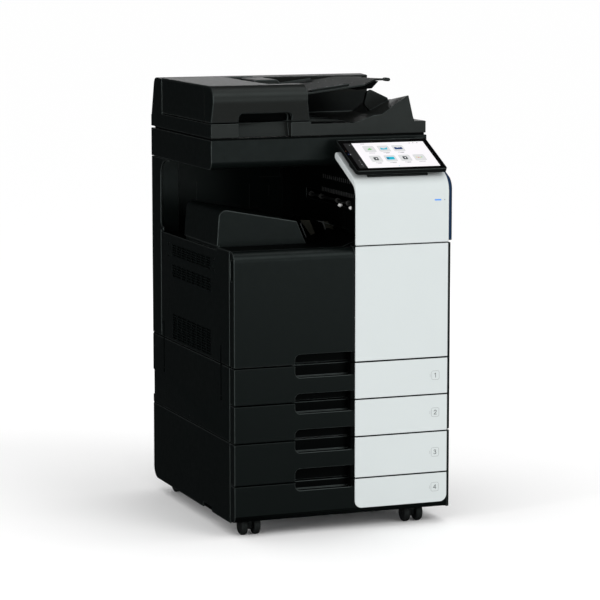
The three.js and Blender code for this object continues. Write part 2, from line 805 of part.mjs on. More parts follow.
function adfBase() {
  const [front, rear] = HEAD_Y;
  const plate = alongX(
    [
      [front, FEEDER_BOTTOM, 2],
      [rear, FEEDER_BOTTOM],
      [rear, FEEDER_DECK],
      [front, FEEDER_DECK, 2],
    ],
    FEEDER_X,
    2,
  );
  const leftDeck = box(
    [FEEDER_X[0], COVER_END.low + 3],
    [front, COVER_REAR + 4],
    [FEEDER_BOTTOM + 5, FEEDER_SEAM],
  );
  const rearWall = alongX(
    [
      [COVER_REAR + 2, FEEDER_BOTTOM + 5],
      [rear, FEEDER_BOTTOM + 5],
      [rear - 4, 1087, 4],
      [rear - 31, FEEDER_TOP, 24],
      [COVER_REAR + 2, FEEDER_TOP - 3, 3],
    ],
    FEEDER_X,
    5,
  );
  const wallHollow = box([-150, 150], [262, 298], [FEEDER_BOTTOM - 1, 1172]);
  // The base is a shell: it is open downwards, over the pad
  const shellHollows = [
    box([-290, -70], [-120, 230], [FEEDER_BOTTOM - 1, 1125]),
    box([-55, 290], [-150, 240], [FEEDER_BOTTOM - 1, 1078]),
  ];
  const feedUnit = box([-297, -62], [-128, 238], [FEEDER_SEAM - 2, 1132]);
  const posts = FEED_SHAFT.y.map((y) =>
    box([FEED_SHAFT.x - 10, FEED_SHAFT.x + 10], [y - 5, y + 5], [1130, 1164]),
  );
  const bores = bar("Y", [FEED_SHAFT.x, FEED_SHAFT.z], FEED_SHAFT.radius + 0.6, [-118, 239], 12);
  const hingeNotches = HINGE_X.map((x) =>
    box(grown(x, 2), [HINGE_AXIS.y - 27, rear + 1], [FEEDER_BOTTOM - 1, HINGE_AXIS.z + 24]),
  );
  const whole = join(
    plate,
    leftDeck,
    rearWall,
    ...exitTrayEnd(),
    feedUnit,
    ...posts,
  );
  return cut(whole, wallHollow, ...shellHollows, bores, feederGrip(), ...hingeNotches);
}

// Low hood over the pick-up rollers, on the feed cover's edge of the inlet
function pickUpHood() {
  const nose = -58; // the end over the feed tray
  const root = THROAT.x - 4;
  const halfWidth = 62;
  const chamfer = 8;
  const bottom = FEEDER_TOP - 20;
  const corners = [
    [root, bottom],
    [nose, bottom],
    [nose, HOOD_TOP - chamfer, 4],
    [nose - chamfer, HOOD_TOP, 4],
    [root + 16, HOOD_TOP, 3],
    [root, FEEDER_TOP - 2],
  ];
  return alongY(corners, [PAPER_MIDDLE - halfWidth, PAPER_MIDDLE + halfWidth], 3);
}

function adfCover() {
  const [front] = HEAD_Y;
  const nose = front - COVER_NOSE.reach;
  const section = alongX(
    [
      [front, COVER_BOTTOM],
      [COVER_REAR, COVER_BOTTOM],
      [COVER_REAR, FEEDER_TOP],
      [nose, FEEDER_TOP, 36],
      [nose, COVER_NOSE.z, 30],
    ],
    [FEEDER_X[0], COVER_END.low],
    6,
  );
  const ends = alongY(
    [
      [FEEDER_X[0], COVER_BOTTOM - 1],
      [COVER_END.low, COVER_BOTTOM - 1],
      [COVER_END.high, COVER_END.lean],
      [COVER_END.high, FEEDER_TOP + 1],
      [FEEDER_X[0], FEEDER_TOP + 1],
    ],
    [nose - 1, COVER_REAR + 1],
  );
  const hollow = alongX(
    [
      [front + 10, COVER_BOTTOM - 1],
      [COVER_REAR - 8, COVER_BOTTOM - 1],
      [COVER_REAR - 8, FEEDER_TOP - 6],
      [nose + 8, FEEDER_TOP - 6, 30],
      [nose + 8, COVER_NOSE.z, 24],
    ],
    [FEEDER_X[0] + 8, COVER_END.low + 1],
    4,
  );
  // A pocket wall behind the grip keeps the cover closed there
  const gripWall = box(grown(GRIP_X, 5), [front + 5, front + 38], [COVER_BOTTOM, 1128]);
  const throat = box([THROAT.x, COVER_END.low + 1], THROAT.y, [THROAT.floor, FEEDER_TOP + 1]);
  const shell = cut(section.intersect(ends), hollow, throat);
  return cut(join(shell, gripWall, pickUpHood()), feederGrip());
}

function feedRoller() {
  const { x, z, radius, roller, y } = FEED_SHAFT;
  const rollers = [PAPER_MIDDLE - 30, PAPER_MIDDLE + 30].map((middle) =>
    bar("Y", [x, z], roller, [middle - 16, middle + 16], 16),
  );
  return join(bar("Y", [x, z], radius, [y[0] - 4, y[1] + 4], 12), ...rollers);
}

// Document tray: rises to the right at a gentle slope, then levels off into a tongue
const TRAY_SLOPE = 0.1224;
const feedTrayTop = (x) => 1163 + (x + 10) * TRAY_SLOPE;
const FEED_TRAY = { x: [-38, 186], y: [PAPER_MIDDLE - 155, PAPER_MIDDLE + 155], tip: 291, thickness: 5 };

function adfFeedTray() {
  const { x, y, tip, thickness } = FEED_TRAY;
  const top = [
    [tip, 1187.5, 2],
    [232, 1189.5, 60],
    [x[1], feedTrayTop(x[1])],
    [x[0], feedTrayTop(x[0])],
  ];
  const bottom = [
    [x[0], feedTrayTop(x[0]) - thickness],
    [x[1], feedTrayTop(x[1]) - thickness],
    [232, 1189.5 - thickness, 60],
    [tip, 1187.5 - thickness, 2],
  ];
  const section = alongY([...bottom, ...top], grown(y, 1), 3);
  const plan = alongZ(
    [
      [x[0], y[0]],
      [x[1], y[0], 12],
      [tip, PAPER_MIDDLE - 18, 10],
      [tip, PAPER_MIDDLE + 18, 10],
      [x[1], y[1], 12],
      [x[0], y[1]],
    ],
    [1140, FEEDER_TOP],
    4,
  );
  return section.intersect(plan);
}

// Side guide of the document tray; side is -1 in front and +1 at the rear
function documentGuide(side) {
  const x = [2, 112];
  const strip = (low, high, y) =>
    alongY(
      [
        [x[0], feedTrayTop(x[0]) + low],
        [x[1], feedTrayTop(x[1]) + low],
        [x[1], feedTrayTop(x[1]) + high],
        [x[0], feedTrayTop(x[0]) + high],
      ],
      y,
    );
  const wall = PAPER_MIDDLE + side * 150;
  const flange = PAPER_MIDDLE + side * 118;
  const wallInner = wall - side * 4;
  const sorted = (a, b) => [Math.min(a, b), Math.max(a, b)];
  return join(strip(0.4, 7, sorted(wall, wallInner)), strip(0.4, 3, sorted(wall, flange)));
}

// ---------------------------------------------------------------- control panel
const PANEL = {
  x: [28, 291],
  length: 170,
  thickness: 12,
  blockDepth: 20, // from the panel's face to the underside of the hinge block
  y: -355,
  z: 969,
  tilt: 24.8,
};
const PANEL_RIM = 2.7;

function controlPanelBody() {
  const slab = alongZ(roundedRectangle(PANEL.x, [0, PANEL.length], 9), [-PANEL.thickness, 0], 4);
  const seat = box(shrunk(PANEL.x, PANEL_RIM), shrunk([0, PANEL.length], PANEL_RIM), [-2.6, 1]);
  const block = box([50, 268], [20, 95], [-PANEL.blockDepth, -PANEL.thickness + 1]);
  return join(cut(slab, seat), block);
}

function touchScreen() {
  const rim = PANEL_RIM + FIT;
  return box(shrunk(PANEL.x, rim), shrunk([0, PANEL.length], rim), [-2.3, -0.1]);
}

function addControlPanel() {
  const panel = new THREE.Group();
  panel.position.set(0, PANEL.y, PANEL.z);
  panel.rotation.x = THREE.MathUtils.degToRad(PANEL.tilt);
  add("control_panel", controlPanelBody(), "dark", panel);
  add("touch_screen", touchScreen(), "screen", panel);
  copier.add(panel);
}

// ---------------------------------------------------------------- assembly
addCasters();
add("cabinet_frame", cabinetFrame(), "steel");
add("cabinet_left_cover", cabinetLeftCover(), "black");
add("cabinet_rear_cover", rearShell(FRAME_X, [72, CABINET_TOP], 355), "black");
add("cabinet_right_cover", rightCover([SKIRT, CABINET_TOP], [66, CABINET_TOP - 6]), "black");
add("cabinet_right_door", sideDoor([68, CABINET_TOP - 8]), "black");

add("main_frame", mainFrame(), "steel");
for (const [name, x, finish] of TONER) add(name, tonerCartridge(x), finish);
add("left_lower_cover", leftLowerCover(), "black");
add("left_upper_cover", leftUpperCover(), "black");
add("rear_column", rearColumn(), "black");
add("rear_cover", rearShell(FRAME_X, [352, TOWER_TOP - 6], REAR_Y), "black");
add("right_cover", rightCover([BODY_BOTTOM, NECK_BOTTOM - 3], [260, 766]), "black");
add("right_door", rightDoor(), "black");
add("bypass_tray", bypassTray(), "dark");
add("lower_right_door", sideDoor([262, 457]), "black");

addTrays();
add("front_door", frontDoor(), "black");
add("front_door_white_panel", whitePanel([DOOR_BOTTOM, DOOR_WHITE_TOP], 0), "white");

add("output_tray", outputTray(), "black");
add("output_tray_block", outputTrayBlock(), "black");
add("neck_panel", neckPanel(), "white");
add("exit_tower", exitTower(), "inner");
add("exit_roller", exitRoller(), "white");
add("right_upper_cover", rightUpperCover(), "black");

add("scanner_housing", scannerHousing(), "black");
add("platen_glass", box(GLASS.x, GLASS.y, GLASS.z), "glass");
add("scan_carriage", box(CARRIAGE.x, CARRIAGE.y, CARRIAGE.z), "inner");
add("adf_hinge_left", adfHinge(HINGE_X[0]), "dark");
add("adf_hinge_right", adfHinge(HINGE_X[1]), "dark");
add("adf_pad", box([-295, 285], [-128, 312], [1046.8, FEEDER_BOTTOM - FIT]), "white");
add("adf_base", adfBase(), "dark");
add("adf_cover", adfCover(), "dark");
add("adf_feed_roller", feedRoller(), "rubber");
add("adf_feed_tray", adfFeedTray(), "dark");
add("document_guide_front", documentGuide(-1), "dark");
add("document_guide_rear", documentGuide(1), "dark");

addControlPanel();

export default copier;
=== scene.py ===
"""Looks of the floor-standing office copier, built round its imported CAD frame.

Sizes in the helpers' arguments are millimetres in the frame's axes: the front faces -Y, +Z is up.
"""
import json
import math

import bmesh
import bpy
from mathutils import Matrix, Vector


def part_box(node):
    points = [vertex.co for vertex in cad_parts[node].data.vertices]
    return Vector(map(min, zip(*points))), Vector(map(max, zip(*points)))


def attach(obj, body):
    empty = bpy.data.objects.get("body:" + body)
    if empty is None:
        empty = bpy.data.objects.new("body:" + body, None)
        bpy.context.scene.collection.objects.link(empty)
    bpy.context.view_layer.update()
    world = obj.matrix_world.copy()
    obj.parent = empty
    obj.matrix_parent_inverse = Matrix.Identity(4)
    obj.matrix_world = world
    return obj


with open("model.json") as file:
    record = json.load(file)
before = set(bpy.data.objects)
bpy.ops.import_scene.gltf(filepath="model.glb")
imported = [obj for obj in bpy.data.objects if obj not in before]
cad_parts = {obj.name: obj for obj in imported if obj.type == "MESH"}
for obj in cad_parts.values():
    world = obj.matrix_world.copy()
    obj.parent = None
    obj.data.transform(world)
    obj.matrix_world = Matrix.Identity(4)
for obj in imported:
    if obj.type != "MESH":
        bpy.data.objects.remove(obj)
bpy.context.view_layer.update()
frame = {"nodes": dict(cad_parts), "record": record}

MM = 0.001
NODES = frame["nodes"]
SCENE = bpy.context.scene


def extent(node, axis):
    """Lowest and highest place of a CAD node along an axis, in millimetres."""
    i = "XYZ".index(axis)
    return tuple(round(corner[i] / MM, 3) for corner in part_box(node))


def middle(node, axis):
    """Place halfway along a CAD node, in millimetres."""
    return sum(extent(node, axis)) / 2


# ---------------------------------------------------------------- materials
GLOSS_TINT = (0.84, 1.0, 0.97, 1.0)  # plastic and paint shine faintly green


def shader_graph(name):
    """A new material with its node tree emptied down to a Principled shader and an output."""
    material = bpy.data.materials.new(name)
    material.use_nodes = True
    tree = material.node_tree
    tree.nodes.clear()
    shader = tree.nodes.new("ShaderNodeBsdfPrincipled")
    output = tree.nodes.new("ShaderNodeOutputMaterial")
    tree.links.new(shader.outputs["BSDF"], output.inputs["Surface"])
    return material, tree, shader


def noise(tree, feature_mm, detail=2.0):
    """Noise whose blobs are about feature_mm across, in the object's own coordinates."""
    place = tree.nodes.new("ShaderNodeTexCoord")
    texture = tree.nodes.new("ShaderNodeTexNoise")
    texture.inputs["Scale"].default_value = 1 / (feature_mm * MM)
    texture.inputs["Detail"].default_value = detail
    tree.links.new(place.outputs["Object"], texture.inputs["Vector"])
    return texture.outputs["Fac"]


def ranged(tree, value, low, high):
    """value, from its middle half, stretched to run from low to high."""
    node = tree.nodes.new("ShaderNodeMapRange")
    node.inputs["From Min"].default_value = 0.25
    node.inputs["From Max"].default_value = 0.75
    node.inputs["To Min"].default_value = low
    node.inputs["To Max"].default_value = high
    tree.links.new(value, node.inputs["Value"])
    return node.outputs["Result"]


def shade(colour, factor):
    """colour made lighter or darker by factor, with its alpha."""
    return (*[min(1.0, c * factor) for c in colour], 1.0)


def moulded(name, colour, roughness, grain_mm=0.7, grain=0.25, cloud=0.06, specular=0.5, metallic=0.0):
    """Moulded or painted surface: fine eroded grain, and faint clouds in its colour and its gloss."""
    material, tree, shader = shader_graph(name)
    shader.inputs["Specular Tint"].default_value = GLOSS_TINT
    shader.inputs["Metallic"].default_value = metallic
    shader.inputs["Specular IOR Level"].default_value = specular
    clouds = noise(tree, 90, 4)
    mix = tree.nodes.new("ShaderNodeMix")
    mix.data_type = "RGBA"
    mix.inputs["A"].default_value = shade(colour, 1 - cloud)
    mix.inputs["B"].default_value = shade(colour, 1 + cloud)
    tree.links.new(clouds, mix.inputs["Factor"])
    tree.links.new(mix.outputs["Result"], shader.inputs["Base Color"])
    rub = noise(tree, 14, 3)
    tree.links.new(ranged(tree, rub, roughness - 0.04, roughness + 0.04), shader.inputs["Roughness"])
    bump = tree.nodes.new("ShaderNodeBump")
    bump.inputs["Strength"].default_value = grain
    bump.inputs["Distance"].default_value = 0.05 * MM
    tree.links.new(noise(tree, grain_mm, 2), bump.inputs["Height"])
    tree.links.new(bump.outputs["Normal"], shader.inputs["Normal"])
    return material


def clear_glass(name, tint):
    """Clear glass with faint smears on it."""
    material, tree, shader = shader_graph(name)
    shader.inputs["Base Color"].default_value = (*tint, 1)
    shader.inputs["Transmission Weight"].default_value = 1.0
    shader.inputs["IOR"].default_value = 1.5
    smears = noise(tree, 120, 3)
    tree.links.new(ranged(tree, smears, 0.01, 0.05), shader.inputs["Roughness"])
    return material


def cover_glass(name, colour):
    """Black glass over the display: mirror smooth, with faint finger smears."""
    material, tree, shader = shader_graph(name)
    shader.inputs["Base Color"].default_value = (*colour, 1)
    shader.inputs["Specular IOR Level"].default_value = 0.3
    smears = noise(tree, 30, 4)
    tree.links.new(ranged(tree, smears, 0.05, 0.12), shader.inputs["Roughness"])
    return material


def lit(name, colour, strength=1.0):
    """Part of the display or a lamp: glows evenly, with the faint mottling of a backlight."""
    material, tree, shader = shader_graph(name)
    shader.inputs["Base Color"].default_value = (0.01, 0.01, 0.01, 1)
    shader.inputs["Roughness"].default_value = 0.3
    shader.inputs["Specular IOR Level"].default_value = 0.2
    shader.inputs["Emission Strength"].default_value = strength
    mottle = tree.nodes.new("ShaderNodeMix")
    mottle.data_type = "RGBA"
    mottle.inputs["A"].default_value = shade(colour, 0.985)
    mottle.inputs["B"].default_value = (*colour, 1)
    tree.links.new(noise(tree, 40, 2), mottle.inputs["Factor"])
    tree.links.new(mottle.outputs["Result"], shader.inputs["Emission Color"])
    return material


MATERIAL = {
    "black_cover": moulded("BlackCover", (0.0022, 0.0036, 0.0034), 0.38, specular=0.25),
    # Lighter than the black cover, partly as painted light on the feeder's front; the feeder's left side
    # is repainted in the black cover as painted shade.
    "feeder_cover": moulded("FeederCover", (0.0135, 0.0142, 0.0134), 0.4, specular=0.27),
    "bay_black": moulded("BayBlack", (0.0006, 0.0008, 0.0008), 0.5, specular=0.08),
    "white_cover": moulded("WhiteCover", (0.585, 0.622, 0.622), 0.42, cloud=0.012),
    "frame_steel": moulded("FrameSteel", (0.42, 0.44, 0.45), 0.38, 12, 0.15, 0.14, metallic=0.85),
    "hinge_metal": moulded("HingeMetal", (0.02, 0.02, 0.02), 0.4, specular=0.5, metallic=0.3),
    "tray_grey": moulded("TrayGrey", (0.11, 0.12, 0.125), 0.55),
    "caster_plastic": moulded("CasterPlastic", (0.005, 0.005, 0.005), 0.45, 0.9, 0.3, specular=0.35),
    "caster_tread": moulded("CasterTread", (0.008, 0.008, 0.008), 0.6, 0.6, 0.5, specular=0.35),
    "roller_rubber": moulded("RollerRubber", (0.05, 0.05, 0.052), 0.8, 0.5, 0.6),
    "roller_white": moulded("RollerWhite", (0.035, 0.035, 0.034), 0.45, specular=0.2),
    "toner_yellow": moulded("TonerYellow", (0.72, 0.5, 0.02), 0.45),
    "toner_magenta": moulded("TonerMagenta", (0.5, 0.02, 0.16), 0.45),
    "toner_cyan": moulded("TonerCyan", (0.01, 0.28, 0.48), 0.45),
    "toner_black": moulded("TonerBlack", (0.02, 0.02, 0.02), 0.45),
    "platen_glass": clear_glass("PlatenGlass", (0.93, 0.98, 0.97)),
    "pad_white": moulded("PadWhite", (0.7, 0.7, 0.68), 0.75, 1.6, 0.5, 0.03),
    "panel_gloss": moulded("PanelHousing", (0.004, 0.0045, 0.0045), 0.34, specular=0.35),
    "screen_glass": cover_glass("ScreenGlass", (0.0006, 0.0006, 0.0006)),
}
PRINT_GREY = moulded("PrintedGrey", (0.3, 0.31, 0.32), 0.5, cloud=0.02)
PRINT_DARK = moulded("PrintedDark", (0.05, 0.055, 0.06), 0.5, cloud=0.02)
PINCH_WHITE = moulded("PinchWhite", (0.9, 0.9, 0.88), 0.4)
MARK_GREY = moulded("MarkGrey", (0.09, 0.095, 0.095), 0.5, cloud=0.05)
ACCENT_NAVY = moulded("AccentNavy", (0.001, 0.02, 0.07), 0.5, specular=0.2)
# Lighter and glossier than the black plastic, on the rounded edges only: the lighter colour is a painted
# highlight along the edges.
EDGE_GLOSS_AND_HIGHLIGHT = moulded("EdgeGlossAndPaintedHighlight", (0.011, 0.0125, 0.012), 0.5, specular=1.0)
HIGHLIGHTED_EDGE_SLOTS = ("black_cover", "feeder_cover", "bay_black", "panel_gloss")
WALL_MATT = moulded("WallMatt", (0.012, 0.0125, 0.0115), 0.6, specular=0.06)
TRAY_MATT = moulded("TrayMatt", (0.02, 0.0225, 0.0215), 0.55, specular=0.08)
COMB_GREY = moulded("CombGrey", (0.032, 0.032, 0.032), 0.45, cloud=0.02)
BAY_LINE = moulded("BayLine", (0.012, 0.013, 0.013), 0.5, cloud=0.02)
SHAFT_BLACK = moulded("ShaftBlack", (0.004, 0.004, 0.004), 0.5, specular=0.2)
RIB_OLIVE = moulded("RibOlive", (0.035, 0.034, 0.026), 0.55, cloud=0.1, specular=0.2)
LEVER_GREEN = moulded("LeverGreen", (0.03, 0.3, 0.16), 0.42)
SCREW_ZINC = moulded("ScrewZinc", (0.2, 0.2, 0.2), 0.35, 0.4, 0.2, metallic=0.8)

# ---------------------------------------------------------------- the CAD nodes
BEVEL_MM = {
    "black_cover": 2.0,
    "white_cover": 2.2,
    "feeder_cover": 1.5,
    "frame_steel": 0.5,
    "bay_black": 1.0,
    "platen_glass": 0.4,
    "screen_glass": 0.4,
    "caster_tread": 1.8,
    "roller_white": 0.6,
    "panel_gloss": 1.4,
}
DEFAULT_BEVEL_MM = 0.8
NODE_BEVEL_MM = {"adf_cover": 3.0, "output_tray_block": 2.4, "neck_panel": 2.8}
WELD_MM = 0.01
FLAT_DEG = 0.6  # neighbouring faces that differ by less are one flat face
SHARP_DEG = 35  # edges sharper than this are rounded
EXIT_SHAFT = (middle("exit_roller", "X"), middle("exit_roller", "Z"))
EXIT_SHAFT_EDGE = 4.2


def soften(piece, width_mm, segments=3):
    """Rounds a piece's sharp edges and shades its curved faces smooth."""
    if "custom_normal" in piece.data.attributes:
        piece.data.attributes.remove(piece.data.attributes["custom_normal"])
    for face in piece.data.polygons:
        face.use_smooth = True
    weld = piece.modifiers.new("Weld", "WELD")
    weld.merge_threshold = WELD_MM * MM
    flat = piece.modifiers.new("FlatFaces", "DECIMATE")
    flat.decimate_type = "DISSOLVE"
    flat.angle_limit = math.radians(FLAT_DEG)
    flat.delimit = {"NORMAL", "MATERIAL"}
    bevel = piece.modifiers.new("Bevel", "BEVEL")
    bevel.width = width_mm * MM
    bevel.segments = segments
    bevel.limit_method = "ANGLE"
    bevel.angle_limit = math.radians(SHARP_DEG)
    bevel.use_clamp_overlap = False
    bevel.harden_normals = False
    normals = piece.modifiers.new("Normals", "WEIGHTED_NORMAL")
    normals.weight = 100


def dress_nodes():
    """Gives each CAD node its slot's finish, rounded edges and, on black plastic, glossy edges painted
    lighter as a highlight.
    """
    for part in frame["record"]["subparts"]:
        node = NODES[part["node"]]
        slot = part["material_slot"]
        node.data.materials.clear()
        node.data.materials.append(MATERIAL[slot])
        width = BEVEL_MM.get(slot, DEFAULT_BEVEL_MM)
        soften(node, NODE_BEVEL_MM.get(part["node"], width))
        if slot in HIGHLIGHTED_EDGE_SLOTS:
            node.data.materials.append(EDGE_GLOSS_AND_HIGHLIGHT)
            node.modifiers["Bevel"].material = 1


def blacken_shaft():
    """The exit rollers are white, their shaft is black."""
    roller = NODES["exit_roller"]
    roller.data.materials.append(SHAFT_BLACK)
    for face in roller.data.polygons:
        x, _, z = face.center
        if math.hypot(x - EXIT_SHAFT[0] * MM, z - EXIT_SHAFT[1] * MM) < EXIT_SHAFT_EDGE * MM:
            face.material_index = 1


def repaint(node, x, y, z, material):
    """Gives the faces of a node whose middles lie in a box another finish."""
    piece = NODES[node]
    piece.data.materials.append(material)
    for face in piece.data.polygons:
        inside = [low * MM < c < high * MM for c, (low, high) in zip(face.center, (x, y, z))]
        if all(inside):
            face.material_index = len(piece.data.materials) - 1


FRONTS = ("front_door", "tray_1_front", "tray_2_front", "tray_3_front", "tray_4_front")
FRONTS_Z = {node: extent(node, "Z") for node in FRONTS}
DOOR_RECESS_TOP = 486
RECESS_X = (-146.5, 25)
RECESS_Y = (-351.8, -323)
RECESSES = {**FRONTS_Z, "front_door": (FRONTS_Z["front_door"][0], DOOR_RECESS_TOP)}
RECESS_HEIGHTS = {
    "front_door": [RECESSES["front_door"]],
    "tray_1_front": [(FRONTS_Z["tray_1_front"][0], 380), (424, FRONTS_Z["tray_1_front"][1])],
    "tray_2_front": [(FRONTS_Z["tray_2_front"][0], 283), (327, FRONTS_Z["tray_2_front"][1])],
    "tray_3_front": [(FRONTS_Z["tray_3_front"][0], 177), (221, FRONTS_Z["tray_3_front"][1])],
    "tray_4_front": [(118.6, FRONTS_Z["tray_4_front"][1])],
}
GRIP = ((-240, -88), (-189, -138), (1090, 1118))
SIDE_FACE_X = (-318, -317)
HEAD_Y = (-200, 360)
COVER_SIDE_Z = (1090, 1195)
BASE_SIDE_Z = (1050, 1195)
NAVY_EDGE = ((291, 317), (-330, -150), (771, 966))


def repaint_faces():
    """Finishes that differ from the slot's.

    Painted shade: deep black in the recesses and the grip, and the covers' darker black on the
    feeder's left side. Also a navy edge by the neck, and a matt document tray with dark guides.
    """
    # The recesses and the grip are painted near black: painted shade.
    for node, z in RECESSES.items():
        repaint(node, RECESS_X, RECESS_Y, z, MATERIAL["bay_black"])
    repaint("adf_cover", *GRIP, MATERIAL["bay_black"])
    # The feeder's left side, repainted in the darker black cover: painted shade on the side away from the
    # light.
    repaint("adf_cover", SIDE_FACE_X, HEAD_Y, COVER_SIDE_Z, MATERIAL["black_cover"])
    repaint("adf_base", SIDE_FACE_X, HEAD_Y, BASE_SIDE_Z, MATERIAL["black_cover"])
    repaint("right_upper_cover", *NAVY_EDGE, ACCENT_NAVY)
    NODES["adf_feed_tray"].data.materials[0] = TRAY_MATT
    for side in ("front", "rear"):
        NODES["document_guide_" + side].data.materials[0] = SHAFT_BLACK


dress_nodes()
blacken_shaft()
repaint_faces()


# ---------------------------------------------------------------- shapes
def rounded(a, b, radius, steps=5):
    """Corners of a rectangle that spans a and b, each rounded by radius."""
    radius = min(radius, (a[1] - a[0]) / 2 - 0.01, (b[1] - b[0]) / 2 - 0.01)
    centres = [
        (a[1] - radius, b[1] - radius),
        (a[0] + radius, b[1] - radius),
        (a[0] + radius, b[0] + radius),
        (a[1] - radius, b[0] + radius),
    ]
    corners = []
    for turn, (u, v) in enumerate(centres):
        for step in range(steps + 1):
            angle = math.pi / 2 * (turn + step / steps)
            corners.append((u + radius * math.cos(angle), v + radius * math.sin(angle)))
    return corners


def disc(u, v, radius, steps=20):
    """Corners of a circle round (u, v)."""
    angles = [2 * math.pi * step / steps for step in range(steps)]
    return [(u + radius * math.cos(angle), v + radius * math.sin(angle)) for angle in angles]


def moved(outline, place):
    """The outline, drawn round the origin, moved to place."""
    return [(place[0] + u, place[1] + v) for u, v in outline]


def lifted(axis, u, v, depth):
    """Point of a plane drawing: axis is the plane's normal, depth its place along it."""
    return {"X": (depth, u, v), "Y": (u, depth, v), "Z": (u, v, depth)}[axis]


def prism(mesh, outline, axis, span):
    """Adds the outline, drawn across axis, pushed from span[0] to span[1] along it."""
    low, high = ([mesh.verts.new(lifted(axis, u, v, depth)) for u, v in outline] for depth in span)
    mesh.faces.new(low)
    mesh.faces.new(high)
    for i, corner in enumerate(low):
        after = (i + 1) % len(low)
        mesh.faces.new((corner, low[after], high[after], high[i]))


def block(mesh, x, y, z):
    """Adds a box that spans x, y and z."""
    prism(mesh, [(x[0], y[0]), (x[1], y[0]), (x[1], y[1]), (x[0], y[1])], "Z", z)


def stroke(mesh, points, width, axis, span):
    """Adds a line of that width through points, drawn across axis."""
    for (u0, v0), (u1, v1) in zip(points, points[1:]):
        length = math.hypot(u1 - u0, v1 - v0)
        du, dv = (u1 - u0) / length * width / 2, (v1 - v0) / length * width / 2
        start, end = (u0 - du, v0 - dv), (u1 + du, v1 + dv)
        outline = [
            (start[0] + dv, start[1] - du),
            (end[0] + dv, end[1] - du),
            (end[0] - dv, end[1] + du),
            (start[0] - dv, start[1] + du),
        ]
        prism(mesh, outline, axis, span)


def lathe(mesh, profile, centre, axis, steps=24):
    """Adds the body that profile, (radius, depth) pairs, makes when it turns round axis through centre."""
    u, v = centre
    rings = []
    for radius, depth in profile:
        ring = [mesh.verts.new(lifted(axis, a, b, depth)) for a, b in disc(u, v, max(radius, 0.01), steps)]
        rings.append(ring)
    for low, high in zip(rings, rings[1:]):
        for i in range(steps):
            after = (i + 1) % steps
            mesh.faces.new((low[i], low[after], high[after], high[i]))
    mesh.faces.new(rings[0])
    mesh.faces.new(rings[-1])


def screw_head(mesh, radii, depths, place, axis, steps=16):
    """Adds a domed screw head of (rim, crown) radii: depths are its foot, rim, shoulder and top."""
    rim, crown = radii
    lathe(mesh, list(zip((rim, rim, crown, 0.1), depths)), place, axis, steps)


def finished(name, mesh, matrix=None):
    """Turns a bmesh drawn in millimetres into an object in metres."""
    if matrix is not None:
        bmesh.ops.transform(mesh, matrix=matrix, verts=mesh.verts)
    bmesh.ops.scale(mesh, vec=(MM, MM, MM), verts=mesh.verts)
    bmesh.ops.recalc_face_normals(mesh, faces=mesh.faces)
    data = bpy.data.meshes.new(name)
    mesh.to_mesh(data)
    mesh.free()
    item = bpy.data.objects.new(name, data)
    SCENE.collection.objects.link(item)
    return item


def add(name, mesh, material, body="root", bevel_mm=0.0, matrix=None):
    """A visible piece that moves with body, in the finish that it is given."""
    item = finished(name, mesh, matrix)
    item.data.materials.append(material)
    if bevel_mm:
        soften(item, bevel_mm, 2)
    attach(item, body)
    return item


def carve(name, mesh, nodes, body="root", before_bevel=False):
    """Cuts the drawn shape out of the CAD nodes' looks."""
    cutter = finished(name, mesh)
    cutter.hide_render = True
    cutter.hide_viewport = True
    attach(cutter, body)
    for node in nodes:
        cut = NODES[node].modifiers.new(name, "BOOLEAN")
        cut.object = cutter
        cut.operation = "DIFFERENCE"
        cut.solver = "EXACT"
        if before_bevel:
            modifiers = NODES[node].modifiers
            modifiers.move(modifiers.find(name), modifiers.find("Bevel"))


# ---------------------------------------------------------------- left side
LEFT = extent("left_upper_cover", "X")[0]
COVER_CUT = (LEFT - 1, LEFT + 4.4)  # cuts stay inside the 5.8 mm covers
GRILLE_Y = (-166, 166)
GRILLES = [((699.5, 733), 5), ((641, 676.5), 5), ((465.5, 537), 10)]
GRILLE_COLUMNS = 8
SLOT_MARGIN = (2.5, 1.2)  # solid strip round each grille slot, along y and z
SCREWS = [(201, 730), (202, 698), (-188, 730), (-188, 702), (27, 270)]
LEFT_SCREW_DEPTHS = (LEFT + 3.5, LEFT + 2.4, LEFT + 1.5, LEFT + 1.2)
SIDE_GROOVES = [246, -245]
GROOVE_HALF = 4.5
GROOVE_Z = (371, 506)
GROOVE_END_Z = (357, 369)  # the groove ends in a deeper slot
COVER_GAPS_Z = [(253.2, 256), (455.7, 458.8)]
COVER_GAPS_Y = (-313, 348)
NOTCH = ((-172, -82), (37, 55))


